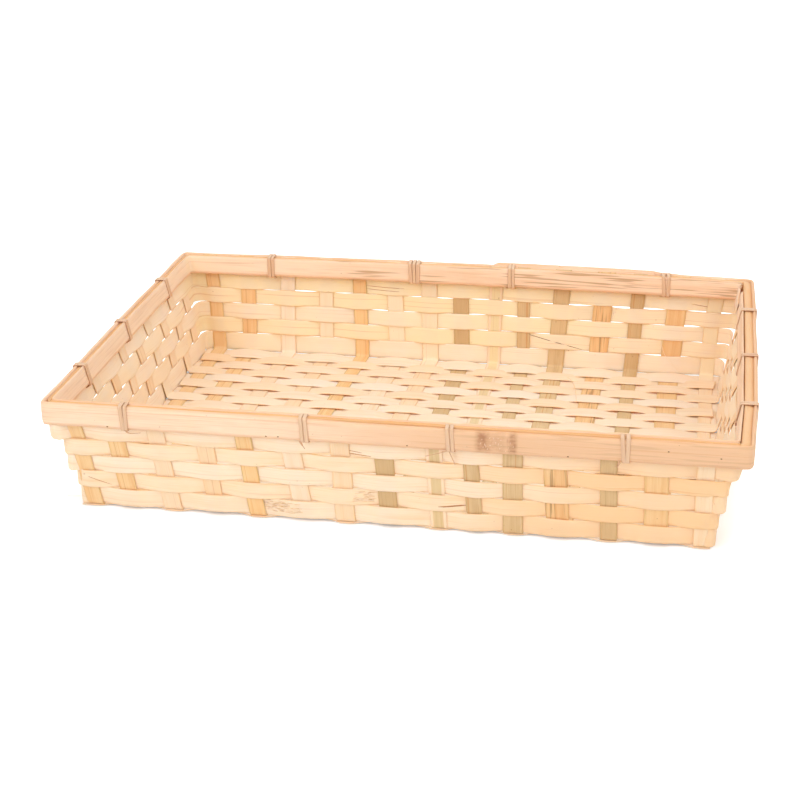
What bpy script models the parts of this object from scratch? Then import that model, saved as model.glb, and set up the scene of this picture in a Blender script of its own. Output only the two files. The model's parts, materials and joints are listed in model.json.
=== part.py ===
"""Shallow rectangular basket woven from flat bamboo strips.

Fifteen long stakes run from rim to rim across the width. Twenty-one cross strips are woven
through them in the base, and every second one runs on up both end walls as a stake.
Five weavers go round the flared walls. The rim holds the stake ends between an outer and
an inner hoop, round a filler core in two lengths, and fourteen ties lash it together.

Units are metres, +Z is up, X runs along the basket and -Y is its front.
The origin is on the floor, at the middle of the base.
"""

import math

import bmesh
import bpy
import numpy as np
from mathutils import Vector

# Overall sizes, at the outside of the piece named
TOP_LENGTH = 0.450
TOP_WIDTH = 0.324
BASE_LENGTH = 0.413
BASE_WIDTH = 0.300
HEIGHT = 0.077

# Strips
STAKE_WIDTH = 0.012
STAKE_THICKNESS = 0.0007
WEAVER_THICKNESS = 0.0007
CLEARANCE = 0.0003
LANE_CLEARANCE = 0.0006
CROSSING_MARGIN = 0.0004
FOLD_RADIUS = 0.0025
WALL_CORNER_RADIUS = 0.003
STAKE_TOP_DROP = 0.0008
STRIP_END_MARGIN = 0.0006

# Weaver rows
ROW_CLEARANCE = 0.0005
TOP_ROW_SHARE = 0.77
JOINT_CLEARANCE = 0.0004

# Rim
RIM_HEIGHT = 0.016
OUTER_HOOP_THICKNESS = 0.002
INNER_HOOP_THICKNESS = 0.0016
INNER_HOOP_HEIGHT = 0.0137
CORE_THICKNESS = 0.005
CORE_HEIGHT = 0.012
CORE_TOP_DROP = 0.0006
OUTER_HOOP_CORNER_RADIUS = 0.0038
CORE_CORNER_RADIUS = 0.004
CORE_INNER_CORNER_RADIUS = 0.0015
INNER_HOOP_CORNER_RADIUS = 0.003
INNER_HOOP_INNER_CORNER_RADIUS = 0.0015

# Ties
TIE_WIDTH = 0.0018
TIE_THICKNESS = 0.0005
TIE_TURN_CLEARANCE = 0.0006
TIE_BEND_RADIUS = 0.0006
TIE_SLOT_CLEARANCE = 0.0005
TIE_TURNS = 2
TIE_TAIL_SHARE = 0.6
TIE_RISE_OFFSET = -0.001

# Places of the long stakes from -X to +X, as shares of the half length at the wall's foot
# and at its top
FRONT_FOOT_SHARES = (
    -0.957, -0.832, -0.696, -0.553, -0.421, -0.268, -0.139, 0.003,
    0.156, 0.271, 0.384, 0.525, 0.676, 0.820, 0.958,
)
FRONT_TOP_SHARES = (
    -0.930, -0.814, -0.690, -0.545, -0.427, -0.296, -0.141, -0.019,
    0.130, 0.229, 0.356, 0.469, 0.620, 0.751, 0.886,
)
BACK_FOOT_SHARES = (
    -0.946, -0.825, -0.670, -0.516, -0.374, -0.236, -0.106, 0.019,
    0.139, 0.254, 0.377, 0.533, 0.661, 0.806, 0.948,
)
BACK_TOP_SHARES = (
    -0.908, -0.776, -0.625, -0.485, -0.365, -0.237, -0.111, 0.001,
    0.131, 0.228, 0.367, 0.517, 0.634, 0.771, 0.892,
)
STAKE_WIDTH_SHARES = (
    0.94, 1.00, 1.00, 0.96, 0.92, 1.08, 1.06, 1.02, 0.87, 0.83, 1.06, 1.20, 0.88, 1.25, 0.92,
)

# Each tie sits in the gap after the stake numbered here, at this share of the gap
TIE_FRONT_PLACE_SHARES = {2: 0.0, 6: 0.06, 9: 0.28, 13: 0.0}
TIE_BACK_PLACE_SHARES = {2: 0.84, 6: 0.77, 9: 0.62, 13: 1.0}
TIE_LEFT_PLACE_SHARES = {2: 1.0, 5: 0.1, 8: 0.0}
TIE_RIGHT_PLACE_SHARES = {2: 0.7, 5: 0.0, 8: 0.0}

# The walls in order, seen from above, each with the signs of the corner that follows it
WALLS = {"front": (1, -1), "right": (1, 1), "back": (-1, 1), "left": (-1, -1)}

# Where the ends of each weaver and hoop meet
ROW_JOINT_STAKES = {1: 3, 2: 12, 3: 5, 4: 10, 5: 13}
OUTER_HOOP_JOINT_SHARE = -0.45
INNER_HOOP_JOINT_SHARE = 0.90
CORE_JOINT_SHARE = 0.109

BASE_STRIP_COUNT = 21
ROW_COUNT = 5
FOLD_STEPS = 5
CORNER_STEPS = 4

# Colours, as linear RGB
CREAM = (0.95, 0.70, 0.45)
PALE = (0.96, 0.76, 0.53)
GOLD = (0.93, 0.62, 0.32)
TAN = (0.86, 0.57, 0.30)
ORANGE = (0.84, 0.46, 0.18)
OLIVE = (0.50, 0.43, 0.20)
PINKISH = (0.85, 0.58, 0.40)
STAKE_COLOURS = (
    TAN, TAN, PALE, CREAM, ORANGE, PALE, CREAM, OLIVE, PALE, OLIVE, OLIVE, GOLD, OLIVE, TAN, CREAM,
)
BAMBOO_ROUGHNESS = 0.5

# Sizes that follow from the ones above
LANE_OFFSET = STAKE_THICKNESS / 2 + CLEARANCE + WEAVER_THICKNESS / 2
MID_LEVEL = WEAVER_THICKNESS / 2 + LANE_OFFSET
HOOP_OFFSET = STAKE_THICKNESS / 2 + CLEARANCE
OUTER_FACE_OFFSET = HOOP_OFFSET + OUTER_HOOP_THICKNESS
CORE_INNER_OFFSET = HOOP_OFFSET + CORE_THICKNESS
INNER_HOOP_OFFSET = CORE_INNER_OFFSET + CLEARANCE
INNER_FACE_OFFSET = INNER_HOOP_OFFSET + INNER_HOOP_THICKNESS
HALF_TOP_LENGTH = TOP_LENGTH / 2 - OUTER_FACE_OFFSET
HALF_TOP_WIDTH = TOP_WIDTH / 2 - OUTER_FACE_OFFSET
HALF_BASE_LENGTH = BASE_LENGTH / 2 - STAKE_THICKNESS / 2
HALF_BASE_WIDTH = BASE_WIDTH / 2 - STAKE_THICKNESS / 2
RIM_BOTTOM = HEIGHT - RIM_HEIGHT
INNER_RIM_BOTTOM = HEIGHT - INNER_HOOP_HEIGHT
STAKE_SHARES = {
    "front": (FRONT_FOOT_SHARES, FRONT_TOP_SHARES), "back": (BACK_FOOT_SHARES, BACK_TOP_SHARES),
}


def half_length(z):
    """Half length of the wall's middle surface at height z."""
    return HALF_BASE_LENGTH + (HALF_TOP_LENGTH - HALF_BASE_LENGTH) * z / HEIGHT


def half_width(z):
    """Half width of the wall's middle surface at height z."""
    return HALF_BASE_WIDTH + (HALF_TOP_WIDTH - HALF_BASE_WIDTH) * z / HEIGHT


class Fold:
    """The bend from the base up into a wall, and the straight slope above it."""

    def __init__(self, half_size, half_base, half_top):
        self.half_size = half_size
        self.angle = math.atan2(HEIGHT, half_top - half_base)
        tangent = FOLD_RADIUS * math.tan(self.angle / 2)
        self.flat_end = half_size(MID_LEVEL) - tangent
        self.top = MID_LEVEL + FOLD_RADIUS * (1 - math.cos(self.angle))

    def bend_points(self, offset):
        """Points (run, height, normal) round the bend, offset towards the inside."""
        radius = FOLD_RADIUS - offset
        points = []
        for step in range(FOLD_STEPS + 1):
            angle = self.angle * step / FOLD_STEPS
            run = self.flat_end + radius * math.sin(angle)
            height = MID_LEVEL + FOLD_RADIUS - radius * math.cos(angle)
            points.append((run, height, (-math.sin(angle), math.cos(angle))))
        return points

    def wall_point(self, z, offset):
        """Point (run, height, normal) on the slope at height z, offset towards the inside."""
        normal = (-math.sin(self.angle), math.cos(self.angle))
        run = self.half_size(z) + offset * normal[0]
        return (run, z + offset * normal[1], normal)


SIDE_FOLD = Fold(half_width, HALF_BASE_WIDTH, HALF_TOP_WIDTH)
END_FOLD = Fold(half_length, HALF_BASE_LENGTH, HALF_TOP_LENGTH)

LANE_PITCH = (2 * SIDE_FOLD.flat_end + LANE_CLEARANCE) / BASE_STRIP_COUNT
BASE_STRIP_WIDTH = LANE_PITCH - LANE_CLEARANCE

ROW_START = max(SIDE_FOLD.top, END_FOLD.top)
ROW_END = RIM_BOTTOM - CLEARANCE - TIE_THICKNESS - TIE_SLOT_CLEARANCE
ROW_SPAN = ROW_END - ROW_START - ROW_CLEARANCE * (ROW_COUNT - 1)
ROW_HEIGHT = ROW_SPAN / (ROW_COUNT - 1 + TOP_ROW_SHARE)


def clear_scene():
    for old in list(bpy.data.objects):
        bpy.data.objects.remove(old, do_unlink=True)


def bamboo(name, colour):
    """Plain bamboo: a matt surface in one colour."""
    material = bpy.data.materials.new("bamboo_" + name)
    material.use_nodes = True
    shader = material.node_tree.nodes["Principled BSDF"]
    shader.inputs["Base Color"].default_value = (*colour, 1.0)
    shader.inputs["Roughness"].default_value = BAMBOO_ROUGHNESS
    shader.inputs["Metallic"].default_value = 0.0
    return material


def loft(name, sections, colour):
    """One closed strip through a row of four-cornered sections."""
    mesh = bpy.data.meshes.new(name)
    bm = bmesh.new()
    rings = [[bm.verts.new(corner) for corner in section] for section in sections]
    for first, second in zip(rings, rings[1:]):
        for corner in range(4):
            following = (corner + 1) % 4
            bm.faces.new((first[corner], first[following], second[following], second[corner]))
    bm.faces.new(reversed(rings[0]))
    bm.faces.new(rings[-1])
    bmesh.ops.recalc_face_normals(bm, faces=bm.faces)
    bm.to_mesh(mesh)
    bm.free()
    mesh.shade_smooth()
    mesh.set_sharp_from_angle(angle=math.radians(40))
    mesh.materials.append(bamboo(name, colour))
    strip = bpy.data.objects.new(name, mesh)
    bpy.context.scene.collection.objects.link(strip)
    return strip


def strip_section(centre, across, normal, width, thickness):
    """Four corners of a flat strip's section."""
    side = across * (width / 2)
    up = normal * (thickness / 2)
    return (centre - side - up, centre + side - up, centre + side + up, centre - side + up)


def stake_place(number, side, z):
    """Place along X of a long stake in the front or back wall, at height z."""
    foot_shares, top_shares = STAKE_SHARES[side]
    foot = foot_shares[number - 1] * half_length(0)
    top = top_shares[number - 1] * half_length(HEIGHT)
    return foot + (top - foot) * z / HEIGHT


def stake_base_place(number, y):
    """Place along X of a long stake in the base, on its way from front to back."""
    front = stake_place(number, "front", MID_LEVEL)
    back = stake_place(number, "back", MID_LEVEL)
    depth = max(-1.0, min(1.0, y / SIDE_FOLD.flat_end))
    return front + (back - front) * (depth + 1) / 2


def stake_width(number):
    return STAKE_WIDTH * STAKE_WIDTH_SHARES[number - 1]


def lane_place(number):
    """Place of a base strip's lane across the basket, number 1 at the back."""
    return ((BASE_STRIP_COUNT + 1) / 2 - number) * LANE_PITCH


def long_stake(number):
    """Stake from the front rim, under and over the base strips, to the back rim."""
    across = Vector((1, 0, 0))
    width = stake_width(number)
    wall_top = SIDE_FOLD.wall_point(HEIGHT - STAKE_TOP_DROP, 0)
    half_path = SIDE_FOLD.bend_points(0) + [wall_top]
    sections = []
    for facing, side, path in ((-1, "front", reversed(half_path)), (1, "back", half_path)):
        for run, height, normal in path:
            place = stake_place(number, side, max(height, MID_LEVEL))
            centre = Vector((place, facing * run, height))
            inward = Vector((0, facing * normal[0], normal[1]))
            sections.append(strip_section(centre, across, inward, width, STAKE_THICKNESS))
    loft(f"long_stake_{number:02d}", sections, STAKE_COLOURS[number - 1])


def base_crossings(number):
    """Stretches (start, end, level) where a base strip lies flat over or under a stake."""
    y = lane_place(number)
    last = len(STAKE_WIDTH_SHARES)
    crossings = []
    for stake in range(1, last + 1):
        over = (number + stake) % 2 == 1
        if number % 4 == 2 and stake in (1, last):
            over = False
        place = stake_base_place(stake, y)
        reach = stake_width(stake) / 2 + CROSSING_MARGIN
        level = LANE_OFFSET if over else -LANE_OFFSET
        crossings.append((place - reach, place + reach, level))
    return crossings


def cross_section(number, x, height, normal):
    """Section of a base strip, which fans out where it climbs an end wall."""
    share = lane_place(number) / half_width(MID_LEVEL)
    centre = Vector((x, share * half_width(max(height, MID_LEVEL)), height))
    across = Vector((0, 1, 0))
    return strip_section(centre, across, normal, BASE_STRIP_WIDTH, WEAVER_THICKNESS)


def woven_sections(number, end_at_fold):
    """Sections along the base, weaving over and under the long stakes."""
    upright = Vector((0, 0, 1))
    crossings = base_crossings(number)
    reach = END_FOLD.flat_end
    sections = []
    for index, (start, end, level) in enumerate(crossings):
        if end_at_fold and index == 0:
            start = -reach
        if end_at_fold and index == len(crossings) - 1:
            end = reach
        sections.append(cross_section(number, start, MID_LEVEL + level, upright))
        sections.append(cross_section(number, end, MID_LEVEL + level, upright))
    return sections


def base_strip(number):
    """Cross strip that ends at the edge of the base, under the outermost stakes."""
    sections = woven_sections(number, False)
    first = base_crossings(number)[0]
    last = base_crossings(number)[-1]
    upright = Vector((0, 0, 1))
    sections[0] = cross_section(number, first[0] - STRIP_END_MARGIN, MID_LEVEL + first[2], upright)
    sections[-1] = cross_section(number, last[1] + STRIP_END_MARGIN, MID_LEVEL + last[2], upright)
    loft(f"base_strip_{number:02d}", sections, PALE)


def cross_stake(number):
    """Cross strip that runs on past the outermost stakes and up both end walls."""
    level = base_crossings(number)[0][2]
    bend = END_FOLD.bend_points(level)
    settled = END_FOLD.wall_point(ROW_START + ROW_HEIGHT, 0)
    wall_top = END_FOLD.wall_point(HEIGHT - STAKE_TOP_DROP, 0)
    climb = bend[1:] + [settled, wall_top]
    sides = []
    for facing in (-1, 1):
        side = []
        for run, height, normal in climb:
            inward = Vector((facing * normal[0], 0, normal[1]))
            side.append(cross_section(number, facing * run, height, inward))
        sides.append(side)
    sections = sides[0][::-1] + woven_sections(number, True) + sides[1]
    loft(f"cross_stake_{number:02d}", sections, CREAM)


def wall_size(side, z):
    """Half of the length that runs along one wall at height z."""
    return half_length(z) if side in ("front", "back") else half_width(z)


def onward(side):
    """Sign of the way along a wall, going counter-clockwise seen from above."""
    return 1 if side in ("front", "right") else -1


def wall_place(side, share, z, offset, sideways=0.0):
    """Point in a straight wall, at a share of its half length and offset outwards."""
    along = share * wall_size(side, z) + sideways
    if side in ("front", "back"):
        out = half_width(z) + offset
        return Vector((along, -out if side == "front" else out, z))
    out = half_length(z) + offset
    return Vector((-out if side == "left" else out, along, z))


def hoop_lean(side, z):
    """How far the upright outer hoop stands outside the sloping wall at height z."""
    across = "left" if side in ("front", "back") else "front"
    widest = max(wall_size(across, HEIGHT), wall_size(across, RIM_BOTTOM))
    return widest - wall_size(across, z)


def band_point(station, z, offset, corner_radius, upright=False):
    """Point on a ring at height z, which follows the walls' slope or stands upright."""
    place, value = station
    if place in WALLS:
        lean = hoop_lean(place, z) if upright else 0
        return wall_place(place, value, z, offset + lean)
    lean_x = hoop_lean("right", z) if upright else 0
    lean_y = hoop_lean("back", z) if upright else 0
    centre_x = math.copysign(half_length(z) + lean_x + offset - corner_radius, place[0])
    centre_y = math.copysign(half_width(z) + lean_y + offset - corner_radius, place[1])
    x = centre_x + corner_radius * math.cos(value)
    y = centre_y + corner_radius * math.sin(value)
    return Vector((x, y, z))


def corner_stations(after):
    """Stations round the corner after one wall, counter-clockwise seen from above."""
    quarter = math.pi / 2
    start = quarter * (list(WALLS).index(after) - 1)
    angles = [start + quarter * step / CORNER_STEPS for step in range(CORNER_STEPS + 1)]
    return [(WALLS[after], angle) for angle in angles]


def wall_stakes(side, z):
    """Places at height z, as shares, and half widths of one wall's stakes, in ring order."""
    if side in ("front", "back"):
        stakes = []
        for number in range(1, len(STAKE_WIDTH_SHARES) + 1):
            share = stake_place(number, side, z) / half_length(z)
            stakes.append((number, share, stake_width(number) / 2))
        return stakes if side == "front" else stakes[::-1]
    stakes = []
    for number in range(2, BASE_STRIP_COUNT, 2):
        share = lane_place(number) / half_width(MID_LEVEL)
        stakes.append((number // 2, share, BASE_STRIP_WIDTH / 2))
    return stakes if side == "left" else stakes[::-1]


def weaver_goes_outside(side, stake, row):
    even = (stake + row) % 2 == 0
    return even if side == "back" else not even


def side_stations(side, row, z):
    """Stations of one weaver along one wall, each with its offset from the middle surface."""
    stations = []
    for stake, share, half in wall_stakes(side, z):
        reach = onward(side) * (half + CROSSING_MARGIN) / wall_size(side, z)
        offset = LANE_OFFSET if weaver_goes_outside(side, stake, row) else -LANE_OFFSET
        stations.append((stake, (side, share - reach), offset))
        stations.append((stake, (side, share + reach), offset))
    return stations


def weaver_stations(row, z):
    """Stations all the way round, from one side of the joint to the other."""
    ring = []
    for side in WALLS:
        ring += side_stations(side, row, z)
        before = ring[-1]
        turn = corner_stations(side)
        for step, station in enumerate(turn):
            share = (step + 1) / (len(turn) + 1)
            ring.append((0, station, before[2] * (1 - 2 * share)))
    joint = ROW_JOINT_STAKES[row]
    places = [i for i, item in enumerate(ring) if item[0] == joint and item[1][0] == "back"]
    start = places[1]
    share = stake_place(joint, "back", z) / half_length(z)
    half_gap = JOINT_CLEARANCE / 2 / half_length(z)
    offset = ring[start][2]
    opened = ring[start:] + ring[:start]
    first = (joint, ("back", share - half_gap), offset)
    last = (joint, ("back", share + half_gap), offset)
    return [first] + opened + [last]


def row_heights(row):
    """Lower and upper edge of a weaver row, number 1 at the top."""
    below = ROW_COUNT - row
    low = ROW_START + below * (ROW_HEIGHT + ROW_CLEARANCE)
    height = ROW_HEIGHT * (TOP_ROW_SHARE if row == 1 else 1)
    return low, low + height


def band_section(station, low, high, inner, outer, radii, upright=False):
    """Section of a band round the walls, between two offsets."""
    return (
        band_point(station, low, inner, radii[0], upright),
        band_point(station, low, outer, radii[1], upright),
        band_point(station, high, outer, radii[1], upright),
        band_point(station, high, inner, radii[0], upright),
    )


def weaver(row):
    """One weaver round the walls, in front of and behind the stakes by turns."""
    low, high = row_heights(row)
    sections = []
    for stake, station, offset in weaver_stations(row, (low + high) / 2):
        inner = offset - WEAVER_THICKNESS / 2
        outer = offset + WEAVER_THICKNESS / 2
        radii = (WALL_CORNER_RADIUS + inner, WALL_CORNER_RADIUS + outer)
        sections.append(band_section(station, low, high, inner, outer, radii))
    loft(f"weaver_row_{row}", sections, PALE if row % 2 else CREAM)


def hoop_stations(joint_side, joint_share):
    """Stations of a hoop whose two ends meet at the joint."""
    half_gap = onward(joint_side) * JOINT_CLEARANCE / 2 / wall_size(joint_side, RIM_BOTTOM)
    order = list(WALLS)
    start = order.index(joint_side)
    stations = [(joint_side, joint_share + half_gap)]
    for side in order[start:] + order[:start]:
        stations += corner_stations(side)
    stations.append((joint_side, joint_share - half_gap))
    return stations


def rim_band(name, stations, heights, offsets, radii, colour, upright=False):
    sections = [band_section(s, *heights, *offsets, radii, upright) for s in stations]
    loft(name, sections, colour)


def outer_hoop():
    """The hoop outside the stakes, which stands upright while the walls slope."""
    inner_radius = OUTER_HOOP_CORNER_RADIUS - OUTER_HOOP_THICKNESS
    rim_band(
        "rim_outer_hoop", hoop_stations("back", OUTER_HOOP_JOINT_SHARE), (RIM_BOTTOM, HEIGHT),
        (HOOP_OFFSET, OUTER_FACE_OFFSET), (inner_radius, OUTER_HOOP_CORNER_RADIUS), PALE, True,
    )


def inner_hoop():
    radii = (INNER_HOOP_INNER_CORNER_RADIUS, INNER_HOOP_CORNER_RADIUS)
    rim_band(
        "rim_inner_hoop", hoop_stations("right", INNER_HOOP_JOINT_SHARE), (INNER_RIM_BOTTOM, HEIGHT),
        (-INNER_FACE_OFFSET, -INNER_HOOP_OFFSET), radii, CREAM,
    )


def rim_cores():
    """Filler between the hoops, in two lengths that meet at the back and at one corner."""
    top = HEIGHT - CORE_TOP_DROP
    heights = (top - CORE_HEIGHT, top)
    offsets = (-CORE_INNER_OFFSET, -HOOP_OFFSET)
    radii = (CORE_INNER_CORNER_RADIUS, CORE_CORNER_RADIUS)
    half_gap = JOINT_CLEARANCE / 2 / half_length(top)
    corner_end = -1 + (HOOP_OFFSET + CLEARANCE) / half_width(heights[0])
    short_path = [("right", corner_end)] + corner_stations("right")
    short_path.append(("back", CORE_JOINT_SHARE + half_gap))
    rim_band("rim_core_short", short_path, heights, offsets, radii, GOLD)
    butt_end = 1 - (CORE_INNER_OFFSET + CLEARANCE) / half_length(heights[0])
    long_path = [("back", CORE_JOINT_SHARE - half_gap)]
    long_path += corner_stations("back") + corner_stations("left")
    long_path.append(("front", butt_end))
    rim_band("rim_core_long", long_path, heights, offsets, radii, TAN)


def loop_corners():
    """The bends (offset, height, turning normal) of one turn of a tie, round the rim."""
    half = TIE_THICKNESS / 2
    inner = -(INNER_FACE_OFFSET + CLEARANCE + half)
    outer = OUTER_FACE_OFFSET + CLEARANCE + half
    top = HEIGHT + CLEARANCE + half
    bottom = RIM_BOTTOM - CLEARANCE - half
    inner_bottom = INNER_RIM_BOTTOM - CLEARANCE - half
    bend = TIE_BEND_RADIUS
    centres = (
        (inner + bend, inner_bottom + bend, math.radians(270)),
        (inner + bend, top - bend, math.radians(180)),
        (outer - bend, top - bend, math.radians(90)),
        (outer - bend, bottom + bend, math.radians(0)),
    )
    corners = []
    for offset, height, start in centres:
        for step in range(3):
            angle = start - math.radians(90) * step / 2
            normal = (math.cos(angle), math.sin(angle))
            corners.append((offset + bend * normal[0], height + bend * normal[1], normal))
    corners.append((TIE_RISE_OFFSET, bottom, corners[-1][2]))
    return corners


def tie_path():
    """Unbroken winding (offset, height, normal, sideways) of two turns and two tucked ends."""
    turn = loop_corners()
    last = turn[-2]
    depth = last[0] - turn[0][0]
    tail_start = (turn[0][0] + depth * TIE_TAIL_SHARE, turn[0][1], turn[0][2])
    tail_end = (last[0] - depth * TIE_TAIL_SHARE, last[1], last[2])
    points = [tail_start] + turn * (TIE_TURNS - 1) + turn[:-1] + [tail_end]
    places = np.array([point[:2] for point in points])
    lengths = np.hypot(*np.diff(places, axis=0).T)
    travelled = np.concatenate(([0.0], np.cumsum(lengths)))
    one_turn = travelled[1 + len(turn)] - travelled[1]
    sideways = (travelled - travelled[-1] / 2) / one_turn * (TIE_WIDTH + TIE_TURN_CLEARANCE)
    return [(*point, shift) for point, shift in zip(points, sideways)]


def tie_share(side, stake, place_share):
    """Centre of a tie between two stakes, clear of both."""
    size = wall_size(side, RIM_BOTTOM)
    stakes = {number: (share, half) for number, share, half in wall_stakes(side, RIM_BOTTOM)}
    pair = sorted((stakes[stake], stakes[stake + 1]))
    reach = tie_path()[-1][-1] + TIE_WIDTH / 2 + CLEARANCE
    low = pair[0][0] + (pair[0][1] + reach) / size
    high = pair[1][0] - (pair[1][1] + reach) / size
    return low + (high - low) * place_share


def tie_point(side, share, z, offset, sideways):
    """Point of a tie, which follows the upright hoop outside and the wall's slope inside."""
    lean = hoop_lean(side, z) if offset > 0 else 0
    return wall_place(side, share, z, offset + lean, sideways)


def tie(name, side, share):
    sections = []
    for offset, z, normal, sideways in tie_path():
        section = []
        for face, edge in ((-1, -1), (-1, 1), (1, 1), (1, -1)):
            shift = face * TIE_THICKNESS / 2
            place = sideways + edge * TIE_WIDTH / 2
            moved = offset + normal[0] * shift
            section.append(tie_point(side, share, z + normal[1] * shift, moved, place))
        sections.append(section)
    loft(name, sections, PINKISH)
    return sections


def least_self_gap(sections):
    """Least distance between points of a winding that lie at least half a turn apart."""
    points = np.array([[tuple(corner) for corner in section] for section in sections])
    apart = len(sections) // TIE_TURNS // 2
    least = math.inf
    for index in range(len(points) - apart):
        later = points[index + apart:].reshape(-1, 3)
        gaps = np.linalg.norm(points[index][:, None, :] - later[None, :, :], axis=2)
        least = min(least, float(gaps.min()))
    return least


def rim_ties():
    walls = (
        ("front", TIE_FRONT_PLACE_SHARES), ("back", TIE_BACK_PLACE_SHARES),
        ("left", TIE_LEFT_PLACE_SHARES), ("right", TIE_RIGHT_PLACE_SHARES),
    )
    least = math.inf
    for side, places in walls:
        for count, (stake, place_share) in enumerate(places.items(), start=1):
            share = tie_share(side, stake, place_share)
            sections = tie(f"rim_tie_{side}_{count}", side, share)
            least = min(least, least_self_gap(sections))
    print(f"Least gap of a tie to itself: {least / CLEARANCE:.2f} clearances, {least:.5f} m")


def main():
    clear_scene()
    for number in range(1, len(STAKE_WIDTH_SHARES) + 1):
        long_stake(number)
    for number in range(1, BASE_STRIP_COUNT + 1):
        if number % 2:
            base_strip(number)
        else:
            cross_stake(number)
    for row in range(1, ROW_COUNT + 1):
        weaver(row)
    outer_hoop()
    inner_hoop()
    rim_cores()
    rim_ties()


main()
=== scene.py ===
"""Looks of the woven bamboo basket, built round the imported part.

Units are metres in the part's own frame: +X along the basket, -Y its front, +Z up.
Every strip of the part is replaced by a finer one on the same track: it bows over and
under its neighbours, its edges wander a little, and its fibres run lengthwise.
"""

import json
import math

import bpy
import numpy as np
from mathutils import Matrix, Vector


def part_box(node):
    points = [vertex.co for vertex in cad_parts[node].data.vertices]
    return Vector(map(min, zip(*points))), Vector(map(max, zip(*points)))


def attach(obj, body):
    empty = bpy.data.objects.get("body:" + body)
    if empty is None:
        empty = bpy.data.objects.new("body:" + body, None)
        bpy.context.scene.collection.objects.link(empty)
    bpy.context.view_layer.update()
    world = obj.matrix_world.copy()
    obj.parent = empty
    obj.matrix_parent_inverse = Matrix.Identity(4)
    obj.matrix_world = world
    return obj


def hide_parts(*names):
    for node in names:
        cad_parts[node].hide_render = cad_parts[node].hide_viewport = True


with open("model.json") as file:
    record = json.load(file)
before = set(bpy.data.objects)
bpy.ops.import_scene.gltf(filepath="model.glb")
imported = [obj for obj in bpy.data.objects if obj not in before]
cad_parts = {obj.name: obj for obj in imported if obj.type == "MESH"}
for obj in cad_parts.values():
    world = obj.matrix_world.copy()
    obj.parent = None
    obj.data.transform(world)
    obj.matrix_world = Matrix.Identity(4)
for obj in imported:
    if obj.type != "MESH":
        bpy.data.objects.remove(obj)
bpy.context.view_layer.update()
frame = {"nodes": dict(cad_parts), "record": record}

# Camera, fitted to the corners of the rim and the base
CAMERA_PLACE = (0.18860, -1.15204, 0.49959)
CAMERA_ELEVATION = 21.98972
CAMERA_AZIMUTH = -10.25977
CAMERA_ROLL = -0.45365
CAMERA_LENS = 79.375
CAMERA_SENSOR = 36.0

# Sizes that the part's strips share
STRIP_THICKNESS = 0.0007
LANE = 0.0009
MID_LEVEL = 0.00135
FOLD_RADIUS = 0.0025
WALL_CORNER_RADIUS = 0.0045
END_BAND = 0.002
CORE_FACE_INSET = 0.00065
OUTER_HOOP_OFFSET = 0.00125
OUTER_HOOP_THICKNESS = 0.0028
OUTER_HOOP_RADIUS = 0.0028
OUTER_LAP_START = 0.152
OUTER_LAP_END = 0.026
OUTER_LAP_RISE = 0.0013
INNER_HOOP_OFFSET = -0.00675
INNER_HOOP_THICKNESS = 0.0016
INNER_HOOP_RADIUS = 0.0023
INNER_LAP_START = 0.140
INNER_LAP_LENGTH = 0.022
CORE_SPLITS = {
    "rim_core_long": ((-0.0049, 0.0015), (-0.0031, 0.0015), (-0.0014, 0.0015)),
    "rim_core_short": ((-0.0022, 0.0062),),
}
CORE_MIDDLE = -0.0031
CORE_RADIUS = 0.0028
CORE_JOINT = 0.0245
CORE_END = 0.2155

# Counts, and the base's lanes whose strips pass beneath the outermost stakes
STAKE_COUNT = 15
LANE_COUNT = 21
BENEATH_LANES = range(2, LANE_COUNT, 4)
ROW_COUNT = 5

# How the looks depart from flat bands. A wander is the length of its waves and their size.
STATION_STEP = 0.0025
RING_STEP = 0.0024
STRIP_CROWN = 0.00012
STRIP_RELIEF = 0.00004
HOOP_RELIEF = 0.00013
RELIEF_LENGTH = 0.04
ARCH_RISES = (0.0001, 0.0006)
BASE_LANE = 0.00072
WEAVER_BOW = 0.0003
CORNER_BOW = 0.0002
EDGE_WANDER = (0.022, 0.00022)
EDGE_RAG_LENGTH = 0.004
EDGE_RAG = 0.00006
DRIFT = 0.0004
DRIFT_LENGTH = 0.03
CROSSING_WIDTH_SHARE = 1.06
BETWEEN_WIDTH_SHARES = (1.0, 0.96, 1.01, 1.04, 1.05)
LANE_CROSSING_SHARE = 1.17
LANE_UNDER_SHARE = 1.4
LANE_BETWEEN_SHARE = 1.05
EASE_MARGIN_SHARE = 0.14

# How the finished walls depart from straight ones: amounts by x along the back rim and
# by y along the end walls. A span is where something sets in and where it is whole.
BACK_RISE = (
    (-0.22, 0.0016), (-0.13, 0.0026), (-0.05, 0.003), (0.06, 0.003), (0.19, 0.0016), (0.23, 0.0006),
)
RIGHT_BOW = ((-0.17, 0.0), (-0.1, 0.0024), (0.0, 0.0032), (0.1, 0.003), (0.165, 0.002))
LEFT_BOW = (
    (-0.17, 0.0012), (-0.1, 0.0012), (0.0, 0.0024), (0.06, 0.0026), (0.1, 0.0022), (0.165, 0.001),
)
RIGHT_TUCK = ((-0.16, 0.0034), (-0.1, 0.003), (0.0, 0.002), (0.1, 0.0008), (0.16, 0.0))
FRONT_DIP = ((-0.07, 0.0), (-0.02, 0.0012), (0.06, 0.0014), (0.12, 0.001), (0.2, 0.0004))
RIM_SPAN = (0.04, 0.064)
END_WALL_SPAN = (0.17, 0.2)
TUCK_SPAN = (-0.011, -0.003)
BACK_RISE_SPAN = (0.08, 0.14)
BACK_RISE_POWER = 1.5

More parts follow.
